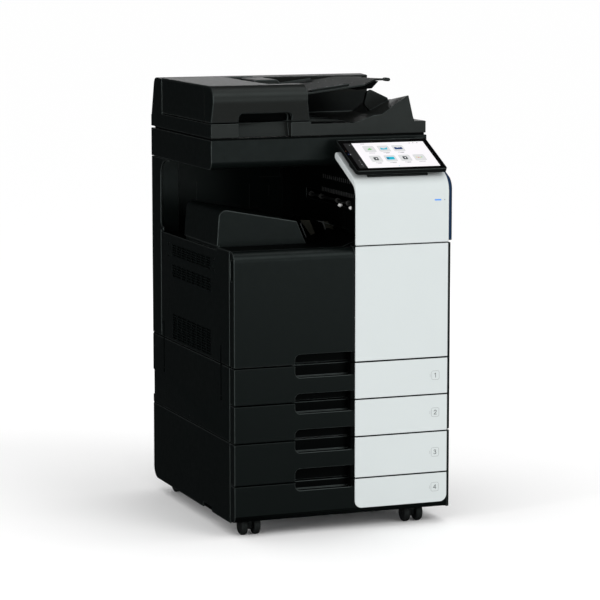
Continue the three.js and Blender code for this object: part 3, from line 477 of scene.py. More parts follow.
def left_side():
    """Grilles, grooves and sunk screws of the left covers."""
    slots = bmesh.new()
    pitch = (GRILLE_Y[1] - GRILLE_Y[0]) / GRILLE_COLUMNS
    for (bottom, top), rows in GRILLES:
        row_pitch = (top - bottom) / rows
        for row in range(rows):
            for column in range(GRILLE_COLUMNS):
                y = GRILLE_Y[0] + pitch * column
                z = bottom + row_pitch * row
                width = (y + SLOT_MARGIN[0], y + pitch - SLOT_MARGIN[0])
                height = (z + SLOT_MARGIN[1], z + row_pitch - SLOT_MARGIN[1])
                prism(slots, rounded(width, height, 1.6, 2), "X", COVER_CUT)
    carve("GrilleSlots", slots, ["left_upper_cover"])
    grooves = bmesh.new()
    for y in SIDE_GROOVES:
        width = (y - GROOVE_HALF, y + GROOVE_HALF)
        prism(grooves, rounded(width, GROOVE_Z, 3), "X", (LEFT - 1, LEFT + 2.6))
        prism(grooves, rounded(width, GROOVE_END_Z, 1), "X", COVER_CUT)
    carve("SideGrooves", grooves, ["left_upper_cover", "left_lower_cover"])
    sinks = bmesh.new()
    heads = bmesh.new()
    for y, z in SCREWS:
        prism(sinks, disc(y, z, 4.4), "X", (LEFT - 1, LEFT + 3.4))
        screw_head(heads, (3.2, 2.2), LEFT_SCREW_DEPTHS, (y, z), "X")
    carve("ScrewSinks", sinks, ["left_upper_cover", "left_lower_cover"])
    add("CoverScrews", heads, SCREW_ZINC)


def side_shadows():
    """Black behind the gaps between the left covers, and behind the notch in their lower edge."""
    shadow = bmesh.new()
    for low, high in COVER_GAPS_Z:
        block(shadow, (LEFT + 1.5, LEFT + 5.4), COVER_GAPS_Y, (low, high))
    block(shadow, (LEFT + 6.2, LEFT + 8), *NOTCH)
    add("SideShadows", shadow, MATERIAL["bay_black"])


left_side()
side_shadows()


# ---------------------------------------------------------------- seams, labels and lamp on the front
WHITE_X = extent("front_door_white_panel", "X")
SEAM_X = (WHITE_X[0] + 3, WHITE_X[1] - 3)
SEAMS = {  # the gap over each tray's front
    lower.removesuffix("_front"): (FRONTS_Z[lower][1], FRONTS_Z[upper][0])
    for upper, lower in zip(FRONTS, FRONTS[1:])
}
LABEL_Z = {"tray_1": 408.8, "tray_2": 307, "tray_3": 197.4, "tray_4": 101}
DIGITS = {
    "tray_1": [[(-2.6, 3.6), (0.4, 5.6), (0.4, -5.6)]],
    "tray_2": [[(-3.4, 3.2), (-1.8, 5.4), (1.4, 5.6), (3.3, 3.6), (2.6, 0.8), (-3.4, -5.4), (3.6, -5.4)]],
    "tray_3": [
        [(-3.2, 4.2), (-0.8, 5.6), (2.2, 5), (2.8, 2.6), (0.4, 0.4), (-0.8, 0.4)],
        [(0.4, 0.4), (3.2, -1.6), (2.8, -4.4), (0, -5.6), (-3.4, -4.4)],
    ],
    "tray_4": [[(1.8, -5.6), (1.8, 5.6), (-4, -2.2), (3.8, -2.2)]],
}
LABEL_X = 257.5
LABEL_HALF = (11.5, 12.5)
LABEL_TICK_X = LABEL_X - 15.5
LAMP = ((252, 271), (883.6, 887.4))
SENSOR = (281, 885.5)
WHITE_FRONT = extent("front_door_white_panel", "Y")[0]
PRINT_Y = (WHITE_FRONT - 0.12, WHITE_FRONT + 0.3)
SEAM_Y = (WHITE_FRONT + 0.9, WHITE_FRONT + 9)
SEAM_LIP_Y = (WHITE_FRONT + 0.8, WHITE_FRONT + 1)


def frame_outline(mesh, a, b, radius, width, axis, span):
    """Adds a closed rounded outline of that line width."""
    outer = rounded(a, b, radius)
    inner = rounded((a[0] + width, a[1] - width), (b[0] + width, b[1] - width), radius - width)
    rings = []
    for depth in span:
        for line in (outer, inner):
            rings.append([mesh.verts.new(lifted(axis, u, v, depth)) for u, v in line])
    low_out, low_in, high_out, high_in = rings
    for i in range(len(outer)):
        after = (i + 1) % len(outer)
        mesh.faces.new((low_out[i], low_out[after], low_in[after], low_in[i]))
        mesh.faces.new((high_out[i], high_out[after], high_in[after], high_in[i]))
        mesh.faces.new((low_out[i], low_out[after], high_out[after], high_out[i]))
        mesh.faces.new((low_in[i], low_in[after], high_in[after], high_in[i]))


def tray_fronts():
    """Black in the gap over each white panel, and the panel's label ring and digit."""
    for body, (low, high) in SEAMS.items():
        seam = bmesh.new()
        block(seam, SEAM_X, SEAM_Y, (low + 0.2, high - 0.2))
        lip = -0.2 if body == "tray_1" else 0.3  # the front door swings over tray 1
        block(seam, SEAM_X, SEAM_LIP_Y, (low - 0.3, high + lip))
        add("SeamShadow_" + body, seam, MATERIAL["bay_black"], body)
        z = LABEL_Z[body]
        label = bmesh.new()
        width = (LABEL_X - LABEL_HALF[0], LABEL_X + LABEL_HALF[0])
        frame_outline(label, width, (z - LABEL_HALF[1], z + LABEL_HALF[1]), 5, 0.9, "Y", PRINT_Y)
        stroke(label, [(LABEL_TICK_X, z - 4), (LABEL_TICK_X, z + 4)], 0.8, "Y", PRINT_Y)
        add("TrayLabel_" + body, label, PRINT_GREY, body)
        digit = bmesh.new()
        for line in DIGITS[body]:
            stroke(digit, moved(line, (LABEL_X, z)), 1.5, "Y", PRINT_Y)
        add("TrayDigit_" + body, digit, PRINT_DARK, body)


def neck_lamp():
    """Blue status lamp on the neck, and the light sensor beside it."""
    bar = bmesh.new()
    prism(bar, rounded(*LAMP, 1.2), "Y", (WHITE_FRONT - 0.3, WHITE_FRONT + 1))
    add("StatusLamp", bar, lit("LampBlue", (0.08, 0.33, 0.95), 1.0))
    eye = bmesh.new()
    prism(eye, disc(*SENSOR, 1.6), "Y", PRINT_Y)
    add("AmbientSensor", eye, PRINT_GREY)


tray_fronts()
neck_lamp()


# ---------------------------------------------------------------- touch panel
PANEL_PLACE = Matrix.Translation((0, -355, 969)) @ Matrix.Rotation(math.radians(24.8), 4, "X")
DISPLAY_Y = (15.5, 150)
DISPLAY = ((66, 275.5), DISPLAY_Y)
SIDE_STRIP = ((42, 66), DISPLAY_Y)
LAYER = 0.06
TILE = (33, 33.5)
TILE_HALF = (16.5, 16.8)
TILE_PITCH = 42.3
TILE_ROWS = {99.8: 3, 46.8: 4}  # lower edge of each row, and its tiles
FIRST_TILE_X = 90
SCREEN_WHITE = lit("ScreenWhite", (0.98, 0.955, 0.985))
TILE_GREY = lit("TileGrey", (0.735, 0.74, 0.745))
SCREEN_GREY = lit("ScreenGrey", (0.2, 0.21, 0.22))
SCREEN_DARK = lit("ScreenDark", (0.035, 0.045, 0.05))
ICON_CYAN = lit("IconCyan", (0.0, 0.48, 0.68))
ICON_NAVY = lit("IconNavy", (0.0, 0.035, 0.16))
ICON_GREEN = lit("IconGreen", (0.18, 0.56, 0.18))
ICON_YELLOW = lit("IconYellow", (0.72, 0.62, 0.15))
ICON_RED = lit("IconRed", (0.7, 0.2, 0.22))
ICON_ORANGE = lit("IconOrange", (0.12, 0.03, 0.012))
ICON_BLUE = lit("IconBlue", (0.015, 0.03, 0.14))
LEAF = [(-6, -5), (5.5, -4), (6, 0), (1, 5.5), (-2, 1), (-5, 0)]
LETTER = [(-10.5, -5), (8.5, -5), (11, 7.5), (3.5, 1), (-1.5, 0.5), (-9, 6)]
RIDGE = [
    (-10.5, -6),
    (11.5, -5.5),
    (11, 4),
    (7.5, 5.5),
    (4, 2.5),
    (1, 5),
    (-2, 1),
    (-5.5, 5.5),
    (-11, 5.5),
    (-12, 0),
]


def on_screen(name, outlines, material, layer):
    """Flat marks on the display; layer counts up from the glass."""
    marks = bmesh.new()
    base = -0.1 + LAYER * (layer - 1)
    for outline in outlines:
        prism(marks, outline, "Z", (base - 0.05, base + LAYER))
    add(name, marks, material, "control_panel", matrix=PANEL_PLACE)


def bars(places, size):
    """Rounded bars of size, each centred on its place."""
    (w, h) = size
    return [rounded((u - w / 2, u + w / 2), (v - h / 2, v + h / 2), min(w, h) * 0.3, 2) for u, v in places]


def centred(place, half, radius):
    """Rounded rectangle that reaches half each way from place."""
    (u, v), (w, h) = place, half
    return rounded((u - w, u + w), (v - h, v + h), radius, 3)


def tile_centres(bottom):
    """Middles of the tiles of the row that stands on bottom."""
    v = bottom + TILE[1] / 2
    return [(FIRST_TILE_X + TILE_PITCH * i + TILE[0] / 2, v) for i in range(TILE_ROWS[bottom])]


def touch_screen():
    """Plain tiles, icons and grey bars on the display, and signs on the strip beside it."""
    on_screen("DisplayWhite", [rounded(*DISPLAY, 0.5, 2)], SCREEN_WHITE, 1)
    strip_grey = lit("StripGrey", (0.009, 0.0092, 0.0095))
    on_screen("DisplayStrip", [rounded(*SIDE_STRIP, 0.5, 2)], strip_grey, 1)
    (top, bottom) = TILE_ROWS
    centres = tile_centres(top) + tile_centres(bottom)
    tiles = [centred(place, TILE_HALF, 4) for place in centres]
    on_screen("DisplayTiles", tiles, TILE_GREY, 2)
    greys = bars([(u, v - 22) for u, v in centres], (19, 1.5))
    greys += bars([(u + 2, v - 25) for u, v in centres[1:6]], (11, 1.3))
    greys += bars([(96, 144.3)], (13, 1.6))
    greys += bars([(233, 142.5), (244, 143.2), (256, 143)], (3.4, 2.8))
    on_screen("DisplayLabels", greys, SCREEN_GREY, 2)
    first, second, third = tile_centres(top)
    copy, fax, store, gauge = tile_centres(bottom)
    on_screen("IconLeaf", [moved(LEAF, first)], ICON_GREEN, 3)
    tray = rounded((fax[0] - 11.5, fax[0] + 11), (fax[1] - 6.5, fax[1] + 7.5), 1.2, 2)
    on_screen("IconsCyan", [moved(LETTER, second), tray], ICON_CYAN, 3)
    spot = disc(fax[0] - 7.5, fax[1] + 0.5, 3.4, 12)
    on_screen("IconsNavy", [moved(RIDGE, third), spot], ICON_NAVY, 4)
    sheets = [rounded((u - 6.5, u + 6.5), (v - 7.8, v + 8), 2, 3) for u, v in (copy, store)]
    on_screen("IconsSheet", sheets, SCREEN_DARK, 3)
    windows = bars([(copy[0] + 1, copy[1])], (4, 5)) + bars([(store[0] + 0.5, store[1] + 0.5)], (3.4, 6.5))
    on_screen("IconsSheetWindow", windows, SCREEN_WHITE, 4)
    (u, v) = gauge
    yellow = bars([(u - 8, v + 1.6)], (4.6, 3.4)) + bars([(u + 1.6, v - 0.6)], (4, 3.6))
    on_screen("GaugeYellow", yellow, ICON_YELLOW, 3)
    on_screen("GaugeRed", bars([(u - 3.4, v)], (4.4, 4)), ICON_RED, 3)
    on_screen("GaugeGreen", bars([(u + 6.4, v + 1.6)], (4, 3.4)), ICON_GREEN, 3)
    on_screen("PageDots", [disc(159, 24, 1.3, 12)], ICON_CYAN, 2)
    on_screen("PageDotsGrey", [disc(159 + 7 * i, 24, 0.9, 10) for i in (1, 2)], TILE_GREY, 2)
    signs = bars([(42.5, 91)], (3.2, 3.6)) + bars([(57.4, 140)], (3, 2.6))
    signs += bars([(55.5, 58), (55.5, 48.5), (55.5, 27)], (2.6, 1.8)) + bars([(55.5, 36.5)], (3.6, 3))
    on_screen("StripSigns", signs, lit("SignGrey", (0.33, 0.34, 0.36)), 2)
    on_screen("StandbyDot", [disc(35.3, 109, 1.6, 12)], ICON_ORANGE, 2)
    on_screen("NetworkDot", [disc(37.3, 92, 1.7, 12)], ICON_BLUE, 2)


KNUCKLE = [(8, 36), (10, 38), (10, 62), (8, 64)]
SPEAKER_BAR = ((8, 24), (-25.5, -19))


def panel_hinge():
    """Hinge knuckle between the panel's underside and the neck, and the bar under its lower edge."""
    knuckle = bmesh.new()
    lathe(knuckle, KNUCKLE, (66, -21), "X", 18)
    bar = bmesh.new()
    prism(bar, rounded(*SPEAKER_BAR, 3, 3), "X", (66, 240))
    add("PanelKnuckle", knuckle, MATERIAL["panel_gloss"], "control_panel", matrix=PANEL_PLACE)
    gloss = MATERIAL["panel_gloss"]
    add("PanelSpeakerBar", bar, gloss, "control_panel", 0.6, matrix=PANEL_PLACE)


touch_screen()
panel_hinge()

# ---------------------------------------------------------------- document feeder
FEED_SLOPE = 0.1224
FEED_LOW_END = (-10, 1163)  # x and z of the document tray's top at its lower end
COVER_SEAMS_Y = (-117, 243)
COVER_SEAM_Z = (1093, 1184)
SEAM_EDGE_Z = (1094, 1180)
FIN = [(0, -10), (20, -22), (20, -8)]
FIN_X = (44, 125)
FRONT_DASHES = [(20, 7), (42, 3), (74, 3), (98, 6), (112, 12), (148, 4)]  # start and length of each
FRONT_DASH_Y = (-15, -12.6)
REAR_DASH_Y = (132, 134.4)
REAR_DASH_LENGTH = 3
REAR_DASHES_X = range(18, 172, 22)


def feed_top(x):
    """Height of the document tray's top at x."""
    return FEED_LOW_END[1] + (x - FEED_LOW_END[0]) * FEED_SLOPE


def on_feed_tray(mesh, outline, low, high):
    """Adds an outline in X and Y that lies on the sloping document tray."""
    rings = [[mesh.verts.new((x, y, feed_top(x) + lift)) for x, y in outline] for lift in (low, high)]
    mesh.faces.new(rings[0])
    mesh.faces.new(rings[1])
    for i in range(len(outline)):
        after = (i + 1) % len(outline)
        mesh.faces.new((rings[0][i], rings[0][after], rings[1][after], rings[1][i]))


def feeder_details():
    """Seams on the feeder cover's left side, and the marks on the document tray."""
    seams = bmesh.new()
    for y in COVER_SEAMS_Y:
        prism(seams, rounded((y - 0.9, y + 0.9), COVER_SEAM_Z, 0.5, 2), "X", (LEFT - 1, LEFT + 2.2))
    carve("CoverSeams", seams, ["adf_cover"], "feeder_cover")
    strips = bmesh.new()
    for y in COVER_SEAMS_Y:
        prism(strips, rounded((y - 2.2, y - 0.9), SEAM_EDGE_Z, 0.5, 2), "X", (LEFT - 0.2, LEFT + 0.8))
    add("CoverSeamEdges", strips, MATERIAL["feeder_cover"], "feeder_cover")
    fins = bmesh.new()
    for x in FIN_X:
        on_feed_tray(fins, moved(FIN, (x, 0)), -0.5, 0.5)
    add("FeedTrayFins", fins, SHAFT_BLACK, "feed_tray")
    dashes = bmesh.new()
    places = [(x, length, FRONT_DASH_Y) for x, length in FRONT_DASHES]
    places += [(x, REAR_DASH_LENGTH, REAR_DASH_Y) for x in REAR_DASHES_X]
    for x, length, (low, high) in places:
        dash = [(x, low), (x + length, low), (x + length, high), (x, high)]
        on_feed_tray(dashes, dash, -0.3, 0.15)
    add("FeedTrayScale", dashes, PRINT_GREY, "feed_tray")


EXIT_RAIL = [(-30, 1084.2), (90, 1084.2), (90, 1086), (-30, 1092)]
EXIT_RAILS_Y = (-108, -60, 20, 96, 172)
THICKNESS = 4  # of a rail and of a tooth
EXIT_FLOOR = ((-34, 94), (-171, 250), (1084.05, 1084.5))
REAR_WALL = ((-30, 301), (251.4, 251.95))
TOOTH = ((-52, -38.6), (1121, 1133))
TEETH_Y = range(-108, 236, 26)
REAR_WALL_SKINS = [
    ("RearWallFelt", (1141, 1186), WALL_MATT),
    ("RearWallShade", (1087, 1141), SHAFT_BLACK),
]


def exit_tray_details():
    """Rails of the sheet exit, its floor and the rear wall's lower skin near black as painted shade under
    the document tray, the wall's upper matt skin, and the inlet's teeth.
    """
    rails = bmesh.new()
    for y in EXIT_RAILS_Y:
        prism(rails, EXIT_RAIL, "Y", (y, y + THICKNESS))
    add("ExitRails", rails, MATERIAL["feeder_cover"], "feeder", 0.5)
    deck_shade = bmesh.new()
    # Near-black skin on the exit floor under the document tray: painted shade.
    block(deck_shade, *EXIT_FLOOR)
    add("ExitDeckShade", deck_shade, MATERIAL["bay_black"], "feeder")
    for name, z, material in REAR_WALL_SKINS:
        wall = bmesh.new()
        block(wall, *REAR_WALL, z)
        add(name, wall, material, "feeder")
    teeth = bmesh.new()
    for y in TEETH_Y:
        block(teeth, TOOTH[0], (y, y + THICKNESS), TOOTH[1])
    add("InletTeeth", teeth, MARK_GREY, "feeder", 0.5)


WAIST = [(152, -100), (300, -100), (300, 47), (265, 45), (246, 33), (224, 4), (190, -48)]
WAIST_Z = (1150, 1200)
TONGUE_Y = 60
TONGUE_TIP = ((277, 291.2), (1180.5, 1190.2))
TONGUE_HALF = 13
KEEL_HALF = 36
KEEL = [(120, 1173), (246, 1183), (226, 1163), (180, 1160)]


def feed_tray_shape():
    """Narrows the document tray into its tongue, rolls the tongue's tip and stiffens it from below."""
    waist = bmesh.new()
    prism(waist, WAIST, "Z", WAIST_Z)
    prism(waist, [(x, 2 * TONGUE_Y - y) for x, y in reversed(WAIST) if x > 200], "Z", WAIST_Z)
    carve("TongueWaist", waist, ["adf_feed_tray"], "feed_tray", before_bevel=True)
    tip = bmesh.new()
    prism(tip, rounded(*TONGUE_TIP, 4.6, 6), "Y", (TONGUE_Y - TONGUE_HALF, TONGUE_Y + TONGUE_HALF))
    add("TongueTip", tip, TRAY_MATT, "feed_tray", 2)
    keel = bmesh.new()
    prism(keel, KEEL, "Y", (TONGUE_Y - KEEL_HALF, TONGUE_Y + KEEL_HALF))
    add("TrayKeel", keel, MATERIAL["bay_black"], "feed_tray", 1)


feeder_details()
feed_tray_shape()
exit_tray_details()

# ---------------------------------------------------------------- output bay
EXIT_WALL_X = extent("exit_tower", "X")[0]
BAY_REAR_Y = (299.2, 301)
BAY_SEAMS = [(-199.5, 840, 890), (-40, 790, 880), (20, 843, 875), (54, 899, 932)]  # x, foot and top
BAY_CROSS_SEAM = ((-10, 56), BAY_REAR_Y, (898, 899.4))
SLAT = [(-22, 812), (7, 810), (25, 766), (14, 763)]
SLAT_PLACES = [(0, 0), (62, -6)]
SLAT_Y = (-62, -58)
BAY_LEVERS = [  # points, width, and span along Y
    ([(-22, 803), (-4, 760)], 3, (-66, -63)),
    ([(30, 807), (69, 796), (89, 783)], 2, (-66, -63)),
    ([(43, 804), (50, 784)], 3.4, (-70, -67)),
]
WALL_RIBS_Y = range(-196, 100, 33)
WALL_RIB_Z = (802, 850)
COMBS = [(range(-246, -8, 12), 1.6, (886, 897)), (range(-220, -24, 15), 1.4, (922, 933))]
PINCH_Y = (-224, -144)
PINCH_Z = 857
PINCH = [(1, -7), (5, -5.5), (5, 5.5), (1, 7)]  # radius, distance from the middle


def bay_details():
    """Combs, ribs and pinch rollers of the exit wall, seams of the rear wall, and slats and levers."""
    combs = bmesh.new()
    for places, proud, z in COMBS:
        for y in places:
            block(combs, (EXIT_WALL_X - proud, EXIT_WALL_X + 1), (y, y + 3), z)
    add("ExitCombs", combs, COMB_GREY)
    ribs = bmesh.new()
    for y in WALL_RIBS_Y:
        block(ribs, (EXIT_WALL_X - 2, EXIT_WALL_X + 1), (y, y + 2.4), WALL_RIB_Z)
    add("ExitWallRibs", ribs, MATERIAL["bay_black"])
    pinch = bmesh.new()
    for y in PINCH_Y:
        profile = [(radius, y + depth) for radius, depth in PINCH]
        lathe(pinch, profile, (EXIT_WALL_X + 2, PINCH_Z), "Y", 16)
    add("PinchRollers", pinch, PINCH_WHITE)
    seams = bmesh.new()
    for x, low, high in BAY_SEAMS:
        block(seams, (x - 0.6, x + 0.6), BAY_REAR_Y, (low, high))
    block(seams, *BAY_CROSS_SEAM)
    add("BayWallSeams", seams, BAY_LINE)
    slats = bmesh.new()
    for place in SLAT_PLACES:
        prism(slats, moved(SLAT, place), "Y", SLAT_Y)
    add("BaySlats", slats, RIB_OLIVE)
    lever = bmesh.new()
    for points, width, span in BAY_LEVERS:
        stroke(lever, points, width, "Y", span)
    add("BayLevers", lever, MARK_GREY)


bay_details()

# ---------------------------------------------------------------- painted shade at the ends of the finger recesses
RECESS_END_X = (13, 23.9)
RECESS_END_Y = (-352.3, -330)


def recess_end_shades():
    """Painted shade: black under the edge of the white panels, at the right end of each finger recess,
    where the panels' edge throws its shade.
    """
    for node, heights in RECESS_HEIGHTS.items():
        body = node.removesuffix("_front")
        end = bmesh.new()
        for low, high in heights:
            block(end, RECESS_END_X, RECESS_END_Y, (low + 0.3, high - 0.3))
        add("RecessEndShade_" + body, end, MATERIAL["bay_black"], body)


recess_end_shades()


# ---------------------------------------------------------------- scanner
SEAL_AND_SHADE = ((LEFT + 2.5, 302), (-170.5, 326))
SEAL_AND_SHADE_Z = (1046.05, 1050.9)
GLASS_BORDER = ((-287, 277), (-147, 322))
GLASS_BORDER_Z = (1045.2, 1045.75)
SCAN_LAMP = ((-266, -254), (-120, 296), (1027.5, 1029.2))
SCALE_X = range(-270, 260, 20)
SCALE_MARK = ((-146, -143), (1045.7, 1045.95))
SCREW_CAP_PLACE = (328, 1029)
SCREW_CAP = [(4.5, LEFT + 0.6), (4.5, LEFT - 0.5), (3, LEFT - 1.2)]


def scanner_details():
    """Seal round the platen glass, black also as painted shade of the gap under the feeder; the glass's
    border, its scale, a screw cap and the carriage's lamp.
    """
    seal_and_shade = bmesh.new()
    # A black seal in the gap under the feeder, which also paints that gap's shade.
    frame_outline(seal_and_shade, *SEAL_AND_SHADE, 4, 4, "Z", SEAL_AND_SHADE_Z)
    add("GlassSealAndShade", seal_and_shade, MATERIAL["bay_black"])
    frame_line = bmesh.new()
    frame_outline(frame_line, *GLASS_BORDER, 3, 4, "Z", GLASS_BORDER_Z)
    add("GlassBorder", frame_line, MATERIAL["bay_black"])
    scale = bmesh.new()
    for x in SCALE_X:
        block(scale, (x, x + 0.9), *SCALE_MARK)
    add("GlassScale", scale, PRINT_GREY)
    heads = bmesh.new()
    lathe(heads, SCREW_CAP, SCREW_CAP_PLACE, "X", 16)
    add("ScannerScrewCap", heads, SHAFT_BLACK)
    bar = bmesh.new()
    block(bar, *SCAN_LAMP)
    add("ScanLamp", bar, MATERIAL["roller_white"], "scan_carriage", 0.4)


scanner_details()

# ---------------------------------------------------------------- right side
RIGHT_DOOR_X = extent("right_door", "X")[1]
PULLS_Z = {"right_door": (738, 757), "lower_right_door": (424, 446), "cabinet_right_door": (212, 234)}
PULL_Y = (-212, -160)
PULL_LEVER_Y = (-209, -163)
PULL_LEVER_X = (RIGHT_DOOR_X - 4.5, RIGHT_DOOR_X - 2.6)
GROOVE_Y = (-224, 282)
BYPASS_RIB = ((315.5, 317.1), (575, 700))
BYPASS_RIBS_Y = range(-140, 190, 20)
GROOVE_X = (RIGHT_DOOR_X - 1, RIGHT_DOOR_X + 1)
RIGHT_SCREW_DEPTHS = (305.2, 306, 306.6, 306.8)
RIGHT_SCREWS = [(y, z) for y in (-330, 330) for z in (270, 440, 740)]


def right_side():
    """Finger pulls, grooves and screws of the right side's doors, and the bypass tray's ribs."""
    for node, (low, high) in PULLS_Z.items():
        bottom, top = extent(node, "Z")
        pull = bmesh.new()
        prism(pull, rounded(PULL_Y, (low, high), 6, 4), "X", (RIGHT_DOOR_X - 6, RIGHT_DOOR_X + 1))
        carve("Pull_" + node, pull, [node], node)
        lever = bmesh.new()
        prism(lever, rounded(PULL_LEVER_Y, (low + 3, high - 8), 3, 3), "X", PULL_LEVER_X)
        add("PullLever_" + node, lever, MATERIAL["feeder_cover"], node, 0.6)
        groove = bmesh.new()
        frame_outline(groove, GROOVE_Y, (bottom + 7, top - 5), 8, 1.4, "X", GROOVE_X)
        carve("DoorGroove_" + node, groove, [node], node)
    ridges = bmesh.new()
    for y in BYPASS_RIBS_Y:
        block(ridges, BYPASS_RIB[0], (y, y + 3), BYPASS_RIB[1])
    add("BypassRibs", ridges, MATERIAL["feeder_cover"], "bypass_tray", 0.5)
    heads = bmesh.new()
    for place in RIGHT_SCREWS:
        screw_head(heads, (3.4, 2.4), RIGHT_SCREW_DEPTHS, place, "X")
    add("RightCoverScrews", heads, SHAFT_BLACK)


right_side()

# ---------------------------------------------------------------- rear
REAR = extent("rear_cover", "Y")[1]
REAR_SCREW_DEPTHS = (REAR - 0.6, REAR + 0.2, REAR + 0.9, REAR + 1)
REAR_SCREWS = [(x, z) for x in (-270, 0, 270) for z in (372, 560, 735)]
LOUVRE_PITCH = 10
LOUVRE_HEIGHT = 4.5
REAR_BAND = ((-300, 290), (340.3, 346), (254.5, 350.5))
REAR_SEAMS_Z = (470, 760)
REAR_SEAM_X = (-300, 300)
LOUVRES = [((600, 700), (-230, -90)), ((600, 700), (90, 230)), ((390, 450), (-230, -90))]


def rear_side():
    """Louvres, sunk screws and seams of the rear cover, and the band under it."""
    slots = bmesh.new()
    for (bottom, top), width in LOUVRES:
        for z in range(bottom, top, LOUVRE_PITCH):
            prism(slots, rounded(width, (z, z + LOUVRE_HEIGHT), 2, 2), "Y", (REAR - 5.2, REAR + 1))
    carve("RearLouvres", slots, ["rear_cover"])
    heads = bmesh.new()
    sinks = bmesh.new()
    for place in REAR_SCREWS:
        screw_head(heads, (3.6, 2.4), REAR_SCREW_DEPTHS, place, "Y")
        prism(sinks, disc(*place, 5), "Y", (REAR - 1.4, REAR + 1))
    carve("RearScrewSinks", sinks, ["rear_cover"])
    add("RearScrews", heads, SCREW_ZINC)
    seam = bmesh.new()
    for z in REAR_SEAMS_Z:
        block(seam, REAR_SEAM_X, (REAR - 2, REAR + 1), (z - 0.8, z + 0.8))
    carve("RearSeams", seam, ["rear_cover"])
    band = bmesh.new()
    block(band, *REAR_BAND)
    add("RearBand", band, MATERIAL["black_cover"], bevel_mm=1)


rear_side()

# ---------------------------------------------------------------- inside
TONERS = ("yellow", "magenta", "cyan", "black")
TONER_GRIP = ((-290, -285), (640, 684))
TONER_BAR_Z = (686, 692)
LIFT_PLATE = ((-255, 190), (-290, 140))
GUIDE_FOOT = 7.4
SIDE_GUIDES = [((-120, 40), (-302, -298)), ((-120, 40), (148, 152)), ((222, 227), (-130, -20))]
GUIDE_LEVER_X = (-52, -28)
GUIDE_LEVERS_Y = (-298, 142)
INNER_FACE_Y = -264.2
INNER_SCREW_DEPTHS = (-263.6, -264.8, -265.6, -265.8)
INNER_SCREWS = [(x, z) for x in range(-280, 261, 90) for z in (470, 560, 730)]
INNER_LEDGE = ((-285, 75), (-276, INNER_FACE_Y), (596, 604))
INNER_COVER = ((110, 270), (-267.8, INNER_FACE_Y), (480, 720))
TRANSFER_LEVER = ((34, 58), (500, 580))


def toner_details():
    """The grip on the front of each toner cartridge."""
    for colour in TONERS:
        x = middle("toner_cartridge_" + colour, "X")
        grip = bmesh.new()
        block(grip, (x - 5, x + 5), *TONER_GRIP)
        prism(grip, rounded((x - 24, x + 24), TONER_BAR_Z, 2, 2), "Y", (-288, -285))
        add("TonerGrip_" + colour, grip, MATERIAL["toner_" + colour], bevel_mm=1.2)


def tray_insides():
    """Lift plate, side guides and their green levers in each tray."""
    for body in SEAMS:
        floor, rim = extent(body + "_box", "Z")
        plate = bmesh.new()
        block(plate, *LIFT_PLATE, (floor + 6, floor + 7.2))
        add("LiftPlate_" + body, plate, MATERIAL["frame_steel"], body, 0.3)
        guides = bmesh.new()
        for x, y in SIDE_GUIDES:
            block(guides, x, y, (floor + GUIDE_FOOT, rim - 8))
        add("SideGuides_" + body, guides, MATERIAL["tray_grey"], body, 0.8)
        levers = bmesh.new()
        for y in GUIDE_LEVERS_Y:
            block(levers, GUIDE_LEVER_X, (y, y + 6), (rim - 22, rim - 9))
        add("GuideLevers_" + body, levers, LEVER_GREEN, body, 1.2)


def inner_panel():
    """Face of the engine behind the front door: screws, a ledge, a cover plate and a lever."""
    heads = bmesh.new()
    for place in INNER_SCREWS:
        screw_head(heads, (3.2, 2.2), INNER_SCREW_DEPTHS, place, "Y", 14)
    add("InnerScrews", heads, SCREW_ZINC)
    ledge = bmesh.new()
    block(ledge, *INNER_LEDGE)
    block(ledge, *INNER_COVER)
    add("InnerCovers", ledge, MATERIAL["tray_grey"], bevel_mm=1.5)
    lever = bmesh.new()
    prism(lever, rounded(*TRANSFER_LEVER, 8, 5), "Y", (-284, INNER_FACE_Y))
    add("TransferLever", lever, LEVER_GREEN, bevel_mm=2)


toner_details()
tray_insides()
inner_panel()

# ---------------------------------------------------------------- casters
CASTERS = ("front_left", "front_right", "rear_left", "rear_right")
HUB = [(17, 26.4), (16.4, 27.6), (6, 27.9), (5, 28.8), (0.1, 29)]  # radius, distance from the middle


def caster_details():
    """The hub cap on the outside of each wheel."""
    for place in CASTERS:
        x, y, axle_z = (middle("caster_wheels_" + place, axis) for axis in "XYZ")
        hubs = bmesh.new()
        for side in (-1, 1):
            profile = [(radius, x + side * depth) for radius, depth in HUB]
            lathe(hubs, profile, (y, axle_z), "X", 24)
        add("CasterHub_" + place, hubs, MATERIAL["caster_plastic"], "wheels_" + place)


caster_details()


# ---------------------------------------------------------------- stage, light and camera
FLOOR_HALF_M = 400
KEY_TARGET = (0, 0, 0.6)
FEEDER_TARGET = (0, 0, 1.15)
CAMERA_PLACE = (-2.6175, -6.8778, 1.611)
CAMERA_TARGET = (0.00153, 0, 0.580)
LENS_MM = 159.9


def stage_material(name, colour):
    """Dull even colour for the floor."""
    material, tree, shader = shader_graph(name)
    shader.inputs["Base Color"].default_value = (*colour, 1)
    shader.inputs["Roughness"].default_value = 0.9
    shader.inputs["Specular IOR Level"].default_value = 0.0
    return material


def studio_floor():
    """White floor that runs out to the horizon and stays out of the reflections."""
    half = FLOOR_HALF_M
    mesh = bpy.data.meshes.new("StudioFloor")
    corners = [(-half, -half, 0), (half, -half, 0), (half, half, 0), (-half, half, 0)]
    mesh.from_pydata(corners, [], [(0, 1, 2, 3)])
    floor = bpy.data.objects.new("StudioFloor", mesh)
    mesh.materials.append(stage_material("StudioFloor", (1.0, 1.0, 1.0)))
    SCENE.collection.objects.link(floor)
    floor.visible_glossy = False


def backdrop(tree, colour):
    """Even background of one colour."""
    node = tree.nodes.new("ShaderNodeBackground")
    node.inputs["Color"].default_value = (*colour, 1)
    return node.outputs["Background"]


